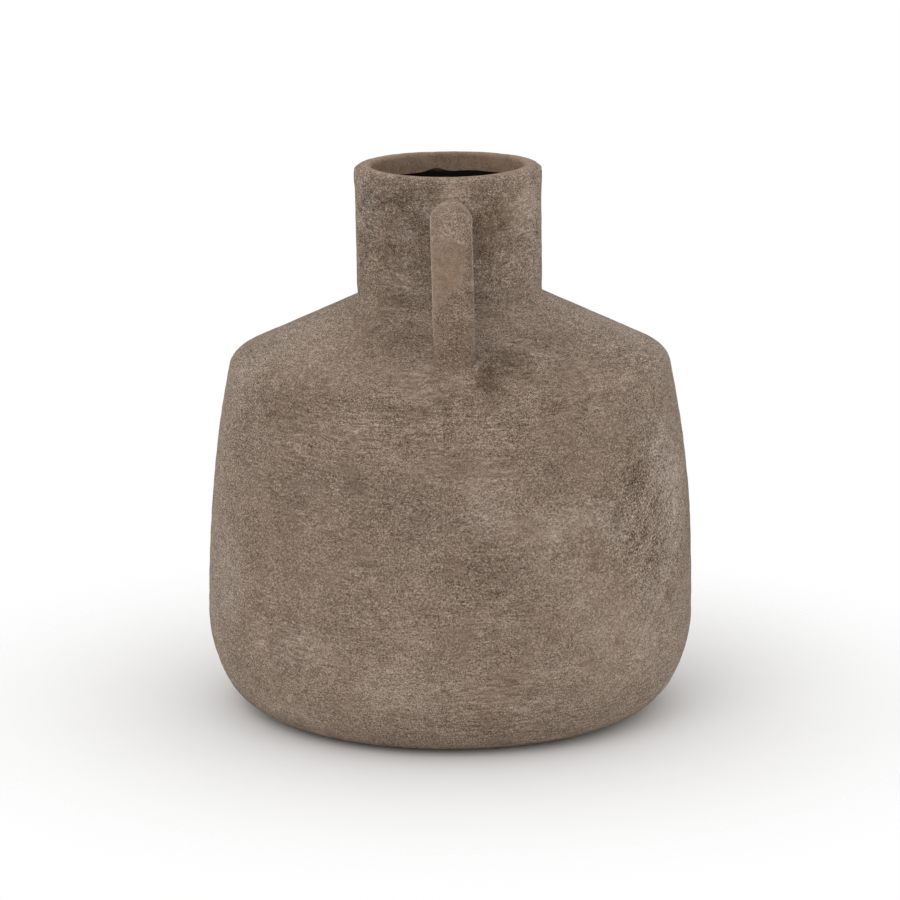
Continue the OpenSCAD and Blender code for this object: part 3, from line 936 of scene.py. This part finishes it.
def wash(finish, place, look, brushing, grit):
    """Colour, roughness and height of the wash at a place, more or less brushed and gritty."""
    tilted = {"angle": STROKE_RISE, "facing": STROKE_FACING}
    squat = finish.turned(place, size=STRETCH["speck"])
    flat = finish.turned(place, size=STRETCH["stroke"])
    slanted = finish.turned(place, size=STRETCH["stroke"], **tilted)
    drawn = finish.turned(place, size=STRETCH["dragged_speck"], **tilted)
    across = finish.axis(place, "X").absolute() / finish.radius(place)
    flank = finish.mask(across, "flank")
    right = finish.mask(finish.spot(place, *RIGHT_SIDE), "right")

    fine = finish.grain(squat, "fine_speck")
    coarse = finish.grain(finish.turned(place, size=STRETCH["coarse_speck"]), "coarse_speck")
    dragged = finish.grain(drawn, "dragged_speck")
    speck = fine + flank * (look.coarse_speck * coarse - fine)
    speck = speck + right * (look.dragged_speck * dragged - speck)
    pit = finish.grain(squat, "pit")
    clump = finish.mask(across, "clump") * finish.grain(squat, "clump")
    brushed = LEAST_BRUSHED + finish.mask(finish.grain(place, "brushed"), "brushed")
    level = finish.grain(flat, "level_stroke") * brushed
    slant = finish.grain(slanted, "slanted_stroke") + finish.grain(slanted, "slanted_sweep")
    stroke = (level + right * (look.slant * slant - level)) * brushing
    cloud = finish.grain(finish.turned(place, size=STRETCH["cloud"]), "cloud")
    broad = finish.grain(place, "broad")
    calm = finish.mask(finish.grain(place, "calm"), "calm")
    raised = finish.reach(finish.axis(place, "Z"), "raised")
    chalk = raised * (finish.mask(finish.grain(place, "chalk"), "chalk") - CHALK_MEAN)

    gritty = grit * (1 - look.calm * calm * (1 - flank))
    # The patches add painted shade and shadow beside the handle to the wash's own tone
    patch_tone, patch_tint = patches(finish, place)
    tone = gritty * (look.speck * speck + look.pit * pit) + look.stroke * stroke
    tone = tone + look.cloud * cloud + look.broad * broad + look.clump * clump + look.chalk * chalk
    shades = (look.wash_deep, look.wash_dark, look.wash_pale, look.wash_chalk)
    shade = finish.ramp(0.5 + look.contrast * (tone + patch_tone), tuple(zip(WASH_STOPS, shades)))
    tint = patch_tint + look.tint * finish.grain(place, "tint") + look.flank_tint * flank
    shade = finish.mix(finish.mask(tint, "cool"), shade, look.cool_tint, "MULTIPLY")
    shade = finish.mix(finish.mask(tint, "warm"), shade, look.warm_tint, "MULTIPLY")
    roughness = look.wash_roughness - look.stroke_polish * stroke
    height = look.speck_height * speck * gritty + look.pit_height * pit + look.stroke_height * stroke
    return shade, roughness, height


def bare(finish, place, look):
    """Colour and height of smooth clay without wash."""
    speck = finish.grain(place, "bare_speck")
    mottle = finish.grain(place, "bare_mottle")
    cloud = finish.grain(place, "bare_cloud")
    share = finish.mask(BARE_CLOUD * cloud + BARE_MOTTLE * mottle + BARE_SPECK * speck, "bare")
    shade = finish.mix(share, look.bare_clay, look.clay_speck)
    return shade, BARE_SPECK_HEIGHT * speck + BARE_CLOUD_HEIGHT * cloud


def washed_clay(form, look):
    """Rough clay under a brushed wash, bare inside the mouth and under the foot."""
    material, finish = new_finish("washed_clay")
    place = finish.place()
    shade, roughness, height = wash(finish, place, look, 1, 1)
    plain, plain_height = bare(finish, place, look)
    rag = finish.grain(place, "bare_edge")
    mouth = form.neck_radius - form.wall
    z = finish.axis(place, "Z")
    inside = finish.reach(finish.radius(place) - mouth + rag * MOUTH_RAG, "bare_inside")
    above = finish.reach(z - form.neck_joint_z, "bare_above")
    under = finish.reach(z + rag * UNDER_RAG, "bare_under")
    smooth_share = inside * above + under
    finish.surface(
        Base_Color=finish.mix(smooth_share, shade, plain),
        Roughness=roughness - look.bare_polish * smooth_share,
        Normal=finish.bump(height + smooth_share * (plain_height - height)),
        Specular_IOR_Level=look.clay_gloss,
        Diffuse_Roughness=look.clay_diffuse,
    )
    return material


def washed_strap(form, look):
    """The wash on the handle, with a rubbed patch on its front, worn edges and a painted highlight along the
    bend's crest.
    """
    material, finish = new_finish("washed_strap")
    place = finish.place()
    shade, roughness, height = wash(finish, place, look, look.strap_brushing, look.strap_grit)
    plain, plain_height = bare(finish, place, look)
    rag = finish.grain(place, "rub_edge")
    x, y, z = [finish.axis(place, name) for name in "XYZ"]
    slanted = z - RUB_SLANT * x
    front = finish.reach(y + form.strap_front_y, "rub_front")
    top = finish.reach(z + RUB_TOP_RAG * rag + RUB_ARCH * x * x, "rub_top")
    right = finish.reach(x + RUB_RIGHT_RAG * rag, "rub_right")
    foot = finish.reach(slanted + RUB_FOOT_RAG * rag, "rub_foot")
    rubbed = front * top * right * foot
    # The worn sides and the crest's painted highlight both take the chalky wash colour
    worn_and_lit = finish.node("ShaderNodeAttribute", {"attribute_name": "wear"}, {}, "Fac")
    line = worn_and_lit * finish.mask(finish.grain(place, "wear_and_highlight_line"), "wear_and_highlight_line")
    line = line * finish.reach(slanted, "worn_sides")
    shade = finish.mix(rubbed, shade, plain)
    finish.surface(
        Base_Color=finish.mix(look.wear_and_highlight_line * line, shade, look.wash_chalk),
        Roughness=roughness - look.rub_polish * rubbed,
        Normal=finish.bump(height + rubbed * (plain_height - height)),
        Specular_IOR_Level=look.clay_gloss,
        Diffuse_Roughness=look.clay_diffuse,
    )
    return material


def brushed_coat(form, hand, look):
    """Dark satin lining with marks of the brush and a thin smear on its hump."""
    material, finish = new_finish("brushed_coat")
    place = finish.place()
    stroke = finish.grain(finish.turned(place, size=STRETCH["coat_stroke"]), "coat_stroke")
    speck = finish.grain(place, "coat_speck")
    thin = finish.mask(stroke + COAT_SPECK * speck, "coat_thin")
    mouth, angle = form.neck_radius - form.wall, hand.coat_hump_turn
    hump = (mouth * math.cos(angle), mouth * math.sin(angle), form.coat_top_z + hand.coat_hump)
    smear = finish.mask(finish.span(finish.turned(place, hump, 0, SMEAR_HALF)) + speck, "coat_smear")
    shade = finish.mix(COAT_THINNING * thin, look.coat, look.coat_thin)
    finish.surface(
        Base_Color=finish.mix(smear, shade, look.coat_edge),
        Roughness=look.coat_roughness + COAT_STREAK * stroke,
        Normal=finish.bump(COAT_STROKE_HEIGHT * stroke + COAT_SPECK_HEIGHT * speck),
        Specular_IOR_Level=look.coat_gloss,
    )
    return material


def fired_slip(look):
    """Matte slip, fired in the joints."""
    material, finish = new_finish("fired_slip")
    place = finish.place()
    speck = finish.grain(place, "slip_speck")
    cloud = finish.grain(place, "slip_cloud")
    shade = finish.mix(finish.mask(speck + SLIP_CLOUD * cloud, "slip"), look.slip, look.bare_clay)
    finish.surface(
        Base_Color=shade,
        Roughness=look.slip_roughness + SLIP_GRIT * speck,
        Normal=finish.bump(SLIP_SPECK_HEIGHT * speck + SLIP_CLOUD_HEIGHT * cloud),
        Specular_IOR_Level=look.clay_gloss,
    )
    return material


def finish_named(name, make, *values):
    """A finish by its name, made at its first use."""
    return bpy.data.materials.get(name) or make(*values)


class VASE_OT_base_dish(bpy.types.Operator):
    """Turns the base with its floor, its heel and a wire-cut underside"""

    bl_idname = "vase.base_dish"
    bl_label = "Base dish"

    def execute(self, context):
        form, hand, look = settings_of(context)
        obj = turn("base_dish_clay", base_line(form), form.turn_steps)
        shape_by_hand(obj, form, hand)
        points = points_of(obj)
        x, y, z = points.T
        ring = radius_at(outer_line(form), 0) - hand.foot_ring
        hollow = smooth_step((ring - np.hypot(x, y)) / hand.foot_ring)
        # The cutting wire leaves curved marks round a point that lies far to the side
        far = np.hypot(x + form.height, y + form.body_radius)
        wire = 0.5 + 0.5 * np.cos(2 * math.pi * far / hand.wire_pitch)
        points[:, 2] += (z < CLOSE) * hollow * (hand.foot_hollow - hand.wire_depth * wire)
        move_points(obj, points)
        settle(obj, "base_dish", finish_named("washed_clay", washed_clay, form, look))
        return {"FINISHED"}


class VASE_OT_wall_sections(bpy.types.Operator):
    """Turns the belly, the wall, the shoulder and the neck, each with its tongue and its groove"""

    bl_idname = "vase.wall_sections"
    bl_label = "Wall sections"

    def execute(self, context):
        form, hand, look = settings_of(context)
        joints = (form.base_joint_z, form.waist_z, form.shoulder_joint_z)
        joints += (form.neck_joint_z, form.rim_joint_z)
        nodes = ("belly_section", "wall_section", "shoulder_section", "neck_collar")
        for node, bottom, top in zip(nodes, joints, joints[1:]):
            obj = turn(node + "_clay", ring_line(form, bottom, top), form.turn_steps)
            shape_by_hand(obj, form, hand)
            settle(obj, node, finish_named("washed_clay", washed_clay, form, look))
        return {"FINISHED"}


class VASE_OT_rim_coil(bpy.types.Operator):
    """Turns the rounded lip"""

    bl_idname = "vase.rim_coil"
    bl_label = "Rim coil"

    def execute(self, context):
        form, hand, look = settings_of(context)
        obj = turn("rim_coil_clay", rim_line(form), form.turn_steps)
        shape_by_hand(obj, form, hand)
        settle(obj, "rim_coil", finish_named("washed_clay", washed_clay, form, look))
        return {"FINISHED"}


def shoulder_z(form, hand, x, y):
    """Height of the shoulder's surface over a point."""
    r = np.hypot(x, y)
    plain = form.neck_z - (r - form.neck_radius) * math.tan(form.slope)
    heights = (form.waist_z, form.shoulder_joint_z, form.neck_z)
    return plain + np.interp(plain, heights, (0, hand.edge_tilt, hand.neck_tilt)) * x / r


def neck_y(form, hand, x, z):
    """Distance of the neck's front from the plane of the axis, beside a point."""
    rise = smooth_step((z - form.neck_z) / (form.height - form.neck_z))
    return np.sqrt(form.neck_radius**2 - (x - hand.neck_lean * rise) ** 2)


def strap_shift(form, hand, z):
    """Sideways place of the handle at a height."""
    foot_z = form.neck_z - (form.strap_front_y - form.neck_radius) * math.tan(form.slope)
    return np.interp(z, (foot_z, form.strap_top_z), (hand.strap_shift_foot, hand.strap_shift_top))


class VASE_OT_strap_handle(bpy.types.Operator):
    """Draws the strap from the neck over its bend and down to the shoulder"""

    bl_idname = "vase.strap_handle"
    bl_label = "Strap handle"

    def execute(self, context):
        form, hand, look = settings_of(context)
        arm_z = form.strap_top_z - form.strap_t / 2
        leg_y = form.strap_front_y - form.strap_t / 2
        bend_y, bend_z = leg_y - form.bend_r, arm_z - form.bend_r
        foot_z = form.neck_z - (leg_y - form.neck_radius) * math.tan(form.slope)
        obj = self.sweep(form, arm_z, bend_y, bend_z, foot_z)
        points = points_of(obj)
        self.crown(obj, form, hand, points, bend_y, bend_z)
        self.fit(form, hand, points, bend_y, bend_z, foot_z)
        move_points(obj, points)
        normals = np.array([v.normal[:] for v in obj.data.vertices])
        heights = np.array([relief(hand, Vector(p)) for p in points]) - hand.lump_height / 2
        move_points(obj, points + STRAP_RELIEF * heights[:, None] * normals)
        settle(obj, "strap_handle", finish_named("washed_strap", washed_strap, form, look))
        return {"FINISHED"}

    def sweep(self, form, arm_z, bend_y, bend_z, foot_z):
        """Extrudes the strap's section along the arm, spins it round the bend and extrudes the leg."""
        bpy.ops.object.select_all(action="DESELECT")
        start = (0, -form.neck_radius, arm_z)
        bpy.ops.mesh.primitive_plane_add(size=1, location=start, rotation=(math.pi / 2, 0, 0))
        obj = bpy.context.object
        obj.name = obj.data.name = "strap_handle_clay"
        bpy.ops.object.transform_apply(location=True, rotation=True, scale=True)
        edit(obj)
        bpy.ops.transform.resize(value=(form.strap_w, 1, form.strap_t), center_override=start)
        bpy.ops.mesh.bevel(offset=form.strap_edge_r, segments=STRAP_CUTS, affect="VERTICES")
        bpy.ops.mesh.select_mode(type="EDGE")
        bpy.ops.mesh.select_all(action="DESELECT")
        bpy.ops.object.mode_set(mode="OBJECT")
        for edge in obj.data.edges:
            ends = [obj.data.vertices[v].co for v in edge.vertices]
            edge.select = (ends[0] - ends[1]).length > 2 * form.skin_pitch
        bpy.ops.object.mode_set(mode="EDIT")
        bpy.ops.mesh.subdivide(number_cuts=STRAP_CUTS)
        bpy.ops.mesh.select_mode(type="VERT")
        bpy.ops.mesh.select_all(action="SELECT")
        arm, leg = bend_y - form.neck_radius, bend_z - foot_z
        self.extrude((0, -arm, 0), form.skin_pitch)
        steps = math.ceil(math.pi * form.bend_r / form.skin_pitch)
        bpy.ops.mesh.spin(steps=steps, angle=math.pi / 2, center=(0, -bend_y, bend_z), axis=(-1, 0, 0))
        self.extrude((0, 0, -leg), form.skin_pitch)
        close_up()
        return obj

    @staticmethod
    def extrude(way, pitch):
        """Extrudes the selected face along a way in steps of about a pitch."""
        steps = math.ceil(Vector(way).length / pitch)
        step = tuple(c / steps for c in way)
        for _ in range(steps):
            bpy.ops.mesh.extrude_region_move(TRANSFORM_OT_translate={"value": step})

    @staticmethod
    def crown(obj, form, hand, points, bend_y, bend_z):
        """Rounds the strap's outer face, narrows its arm, and marks the worn edges and the pale line painted
        on the crest as a highlight.
        """
        x, y, z = points.T
        angle = np.arctan2(np.maximum(z - bend_z, 0), np.maximum(-y - bend_y, 0))
        angle = np.where((z <= bend_z) | (y >= -bend_y), np.where(y >= -bend_y, math.pi / 2, 0), angle)
        way_y, way_z = -np.cos(angle), np.sin(angle)
        out = (y + bend_y) * way_y + (z - bend_z) * way_z - form.bend_r
        turned = angle / (math.pi / 2) + np.clip((y + bend_y) / (bend_y - form.neck_radius), 0, 1)
        across = abs(x) / (form.strap_w / 2)
        side = smooth_step((across - SIDE_START) / SIDE_FADE) * smooth_step((out - SIDE_OUT) / SIDE_RISE)
        crest = np.exp(-(((turned - CREST_PLACE) / CREST_REACH) ** 2))
        crest = crest * smooth_step((CREST_HALF - across) / CREST_FADE) * smooth_step(out / CREST_RISE)
        wear = obj.data.attributes.new("wear", "FLOAT", "POINT")
        # The sides are wear; the crest's pale line is a painted highlight
        worn_and_lit = np.maximum(side, CREST_HIGHLIGHT * crest)
        wear.data.foreach_set("value", worn_and_lit.astype(np.float32))
        points[:, 0], sunk = strap_section(form, hand, x, out, turned)
        points[:, 1] += (sunk - out) * way_y
        points[:, 2] += (sunk - out) * way_z

    @staticmethod
    def fit(form, hand, points, bend_y, bend_z, foot_z):
        """Copes the arm to the neck and the leg to the shoulder, and leans the strap."""
        x, y, z = points.T
        arm = np.clip((y + bend_y) / (bend_y - form.neck_radius), 0, 1)
        points[:, 0] += strap_shift(form, hand, z) + hand.strap_shift_root * smooth_step(arm)
        cope = bend_y - neck_y(form, hand, points[:, 0], z) - form.slip_t
        points[:, 1] = np.where(arm > 0, -bend_y + arm * cope, y)
        fall = hand.bend_drop * smooth_step((z - bend_z) / form.bend_r)
        points[:, 2] -= fall + (hand.arm_sag - hand.bend_drop) * smooth_step(arm)
        leg = np.clip((bend_z - z) / (bend_z - foot_z), 0, 1)
        seat = bend_z - shoulder_z(form, hand, points[:, 0], points[:, 1]) - form.slip_t
        points[:, 2] = np.where(leg > 0, bend_z - leg * seat, points[:, 2])


def on_neck(form, hand, point, side, out, rise):
    """A place on the neck round the strap's upper root."""
    arm_z = form.strap_top_z - form.strap_t / 2 - hand.arm_sag
    room = 1 - WAD_SQUEEZE * max(side.y, 0)
    spot = point + side * (out * room)
    z = arm_z + spot.y
    x = spot.x + float(strap_shift(form, hand, z)) + hand.strap_shift_root
    return (x, -float(neck_y(form, hand, x, z)) - rise, z)


def on_shoulder(form, hand, point, side, out, rise):
    """A place on the shoulder round the strap's lower root."""
    leg_y = form.strap_front_y - form.strap_t / 2
    spot = point + side * out
    y = -leg_y - spot.y
    near_z = form.neck_z - (leg_y - form.neck_radius) * math.tan(form.slope)
    x = spot.x + float(strap_shift(form, hand, near_z + rise))
    return (x, y, float(shoulder_z(form, hand, x, y)) + rise)


class VASE_OT_luting_wads(bpy.types.Operator):
    """Presses soft clay round both roots of the handle"""

    bl_idname = "vase.luting_wads"
    bl_label = "Luting wads"

    def execute(self, context):
        form, hand, look = settings_of(context)
        finish = finish_named("washed_clay", washed_clay, form, look)
        upper = self.press("upper_wad_clay", form, hand, AT_NECK, on_neck)
        lower = self.press("lower_wad_clay", form, hand, ON_LEG, on_shoulder)
        settle(upper, "upper_wad", finish)
        settle(lower, "lower_wad", finish)
        return {"FINISHED"}

    def press(self, name, form, hand, turned, seat):
        """Lays a ring of clay in the corner of strap and pot, hollow like a thumbed fillet."""
        outline = strap_outline(form, hand, turned, form.skin_pitch * ROOT_PITCH)
        bpy.ops.object.select_all(action="DESELECT")
        bpy.ops.mesh.primitive_torus_add(
            major_segments=len(outline),
            minor_segments=WAD_STEPS + 2,
            major_radius=form.strap_w,
            minor_radius=form.strap_t / 2,
        )
        obj = bpy.context.object
        obj.name = obj.data.name = name
        sunk = form.slip_t / 2
        points = []
        for point, side in outline:
            for i in range(WAD_STEPS + 1):
                angle = math.pi / 2 * i / WAD_STEPS
                out = form.wad_spread * (1 - math.cos(angle)) - sunk * math.cos(angle)
                rise = form.wad_rise * (1 - math.sin(angle)) - sunk * math.sin(angle)
                points.append(seat(form, hand, point, side, out, rise))
            points.append(seat(form, hand, point, side, -2 * sunk, -2 * sunk))
        points = np.array(points)
        lumps = [noise.noise(Vector(p) / (hand.lump_size * WAD_LUMPS)) for p in points]
        points[:, 2] += hand.lump_height * WAD_LUMPS * np.array(lumps)
        move_points(obj, points)
        edit(obj)
        close_up()
        return obj


class VASE_OT_sealing_coat(bpy.types.Operator):
    """Turns the dark lining and gives it a brushed, wavy upper edge"""

    bl_idname = "vase.sealing_coat"
    bl_label = "Sealing coat"

    def execute(self, context):
        form, hand, look = settings_of(context)
        obj = turn("sealing_coat_brushed", coat_line(form), form.coat_steps)
        points = points_of(obj)
        x, y, z = points.T
        r = np.hypot(x, y)
        angle = np.arctan2(y, x)
        near_top = smooth_step((z - form.coat_top_z) / hand.coat_brush + 1)
        wave = sum(share * np.sin(turns * angle + start) for turns, start, share in COAT_WAVES)
        hump = np.exp(-(((angle - hand.coat_hump_turn) / hand.coat_hump_span) ** 2))
        mouth = form.neck_radius - form.wall
        thin = np.clip(mouth - r, 0, form.coat_t) * near_top * hand.coat_feather
        grow = np.where(r > CLOSE, 1 + thin / np.maximum(r, CLOSE), 1)
        shift = lean(form, hand, points)
        points[:, 0] *= grow
        points[:, 1] *= grow
        edge = hand.coat_rise + hand.coat_wave * wave + hand.coat_hump * hump
        edge += hand.coat_tilt * np.cos(angle) - hand.coat_droop * np.cos(angle) ** 2
        points[:, 2] += near_top * edge
        move_points(obj, points + shift)
        finish = finish_named("brushed_coat", brushed_coat, form, hand, look)
        settle(obj, "sealing_coat", finish)
        return {"FINISHED"}


class VASE_OT_handle_slips(bpy.types.Operator):
    """Lays the slip between the ends of the handle and the pot"""

    bl_idname = "vase.handle_slips"
    bl_label = "Handle slips"

    def execute(self, context):
        form, hand, look = settings_of(context)
        finish = finish_named("fired_slip", fired_slip, look)
        upper = self.lay("upper_slip_bed", form, hand, AT_NECK, on_neck)
        lower = self.lay("lower_slip_bed", form, hand, ON_LEG, on_shoulder)
        settle(upper, "upper_handle_slip", finish)
        settle(lower, "lower_handle_slip", finish)
        return {"FINISHED"}

    @staticmethod
    def lay(name, form, hand, turned, seat):
        """Extrudes a disc and moves it to the shape of the strap's end on the pot."""
        outline = strap_outline(form, hand, turned, form.skin_pitch * ROOT_PITCH)
        bpy.ops.object.select_all(action="DESELECT")
        bpy.ops.mesh.primitive_circle_add(vertices=len(outline), radius=form.strap_w, fill_type="NGON")
        obj = bpy.context.object
        obj.name = obj.data.name = name
        edit(obj)
        bpy.ops.mesh.extrude_region_move(TRANSFORM_OT_translate={"value": (0, 0, form.slip_t)})
        bpy.ops.object.mode_set(mode="OBJECT")
        points = points_of(obj)
        angle = np.arctan2(points[:, 1], points[:, 0])
        step = 2 * math.pi / len(outline)
        order = np.rint((angle - angle[0]) / step).astype(int) % len(outline)
        for i, place in enumerate(order):
            points[i] = seat(form, hand, *outline[place], -form.slip_t / 4, points[i, 2])
        move_points(obj, points)
        edit(obj)
        close_up()
        return obj


class VASE_OT_joint_slips(bpy.types.Operator):
    """Gives the slip in the joints its fired finish"""

    bl_idname = "vase.joint_slips"
    bl_label = "Joint slips"

    def execute(self, context):
        look = context.scene.vase_look
        finish = finish_named("fired_slip", fired_slip, look)
        for name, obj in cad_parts.items():
            if name.endswith("_joint_slip"):
                obj.data.materials.clear()
                obj.data.materials.append(finish)
        return {"FINISHED"}


class VaseStage(bpy.types.PropertyGroup):
    """Camera, lights and floor."""

    camera_distance: length("Camera distance", "From the camera to the middle of the view", 2.0)
    camera_rise: rotation("Camera rise", "Angle over the horizon", 12.74)
    view_z: length("View height", "Height of the middle of the view", 131.83 * MM)
    lens: number("Lens", "Focal length in millimetres", 155.2)
    sensor: number("Sensor", "Width of the camera's sensor in millimetres", 36)
    far_end: length("Far end", "Distance up to which the camera sees", 20)
    sky: number("Sky", "Strength of the light from all round", 0.94)
    key_power: number("Key", "Power of the soft lamp at the upper left, in watts", 4)
    key_size: length("Key size", "Side of the soft lamp", 0.9)
    key_place: bpy.props.FloatVectorProperty(
        name="Key place", description="Place of the soft lamp", default=(-0.6, -1.1, 1.25), unit="LENGTH"
    )
    floor_radius: length("Floor radius", "Radius of the floor", 3.0)
    floor_steps: count("Floor steps", "Sides of the floor", 96)
    floor_fade: length("Floor fade", "Radius at which the floor starts to fade into the background", 0.105)
    floor_end: length("Floor end", "Radius at which the floor has faded", 0.336)
    floor_mottle: number("Floor mottle", "Brightness of the floor's darker clouds over its own", 0.97)


class VASE_OT_stage(bpy.types.Operator):
    """Sets up the floor, the soft light and the camera"""

    bl_idname = "vase.stage"
    bl_label = "Stage"

    def execute(self, context):
        stage, look = context.scene.vase_stage, context.scene.vase_look
        context.scene.view_settings.view_transform = "Standard"
        self.add_floor(stage, look)
        self.add_sky(context.scene, stage)
        self.add_key(stage)
        self.add_camera(context.scene, stage)
        return {"FINISHED"}

    @staticmethod
    def add_floor(stage, look):
        """A pale round floor that fades into the white background."""
        bpy.ops.object.select_all(action="DESELECT")
        bpy.ops.mesh.primitive_circle_add(
            vertices=stage.floor_steps, radius=stage.floor_radius, fill_type="NGON"
        )
        floor = bpy.context.object
        floor.name = floor.data.name = "floor"
        material, finish = new_finish("pale_floor")
        place = finish.place()
        cloud = finish.grain(place, "floor_cloud")
        darker = [stage.floor_mottle * c for c in look.floor]
        shade = finish.mix(0.5 + cloud, look.floor, darker)
        matte = finish.node("ShaderNodeBsdfDiffuse", {}, {"Color": shade})
        clear = finish.node("ShaderNodeBsdfTransparent")
        fade = finish.ease(finish.span(place), stage.floor_fade, stage.floor_end)
        seen = finish.node("ShaderNodeLightPath", result="Is Camera Ray")
        mixed = finish.node("ShaderNodeMixShader", {}, {0: fade * seen, 1: matte, 2: clear})
        finish.node("ShaderNodeOutputMaterial", {}, {"Surface": mixed})
        floor.data.materials.append(material)

    @staticmethod
    def add_sky(scene, stage):
        """Even light from all round, seen as plain white."""
        scene.world = bpy.data.worlds.new("soft_sky")
        finish = Finish(scene.world)
        seen = finish.node("ShaderNodeLightPath", result="Is Camera Ray")
        for kind in ("Glossy", "Transmission"):
            ray = finish.node("ShaderNodeLightPath", result=f"Is {kind} Ray")
            seen = seen.maths("MAXIMUM", seen, ray)
        strength = stage.sky + seen * (1 - stage.sky)
        light = finish.node("ShaderNodeBackground", {}, {"Color": (1, 1, 1, 1), "Strength": strength})
        finish.node("ShaderNodeOutputWorld", {}, {"Surface": light})

    @staticmethod
    def add_key(stage):
        """A large soft lamp at the upper left."""
        bpy.ops.object.light_add(type="AREA", location=tuple(stage.key_place))
        key = bpy.context.object
        key.name = key.data.name = "soft_key"
        key.data.energy = stage.key_power
        key.data.size = stage.key_size
        aim = Vector((0, 0, stage.view_z)) - key.location
        key.rotation_euler = aim.to_track_quat("-Z", "Y").to_euler()

    @staticmethod
    def add_camera(scene, stage):
        """The camera in front of the handle, a little above the vase."""
        back = Vector((0, -math.cos(stage.camera_rise), math.sin(stage.camera_rise)))
        bpy.ops.object.camera_add(location=Vector((0, 0, stage.view_z)) + back * stage.camera_distance)
        camera = bpy.context.object
        camera.name = camera.data.name = "front_camera"
        camera.rotation_euler = (-back).to_track_quat("-Z", "Y").to_euler()
        camera.data.sensor_width = stage.sensor
        camera.data.lens = stage.lens
        camera.data.clip_end = stage.far_end
        scene.camera = camera


class VASE_PT_panel(bpy.types.Panel):
    """Lists the steps that make the vase"""

    bl_idname = "VASE_PT_panel"
    bl_label = "Clay vase"
    bl_space_type = "VIEW_3D"
    bl_region_type = "UI"
    bl_category = "Vase"

    def draw(self, context):
        for step in STEPS:
            self.layout.operator(step.bl_idname)
        for name, group in GROUPS.items():
            box = self.layout.box()
            for key in group.__annotations__:
                box.prop(getattr(context.scene, name), key)


STEPS = (
    VASE_OT_base_dish,
    VASE_OT_wall_sections,
    VASE_OT_rim_coil,
    VASE_OT_strap_handle,
    VASE_OT_luting_wads,
    VASE_OT_sealing_coat,
    VASE_OT_handle_slips,
    VASE_OT_joint_slips,
    VASE_OT_stage,
)
GROUPS = {
    "vase_form": VaseForm,
    "vase_hand": VaseHand,
    "vase_look": VaseLook,
    "vase_stage": VaseStage,
}


def settings_of(context):
    """Sizes, hand marks and look of the scene."""
    return context.scene.vase_form, context.scene.vase_hand, context.scene.vase_look


def register():
    """Registers the settings, the steps and the panel."""
    for cls in (*GROUPS.values(), *STEPS, VASE_PT_panel):
        bpy.utils.register_class(cls)
    for name, group in GROUPS.items():
        setattr(bpy.types.Scene, name, bpy.props.PointerProperty(type=group))


def unregister():
    """Takes the panel, the steps and the settings away."""
    for name in GROUPS:
        delattr(bpy.types.Scene, name)
    for cls in reversed((*GROUPS.values(), *STEPS, VASE_PT_panel)):
        bpy.utils.unregister_class(cls)


def main():
    """Makes the vase and its stage."""
    register()
    for step in STEPS:
        getattr(bpy.ops.vase, step.bl_idname.split(".")[1])()


if __name__ == "__main__":
    main()
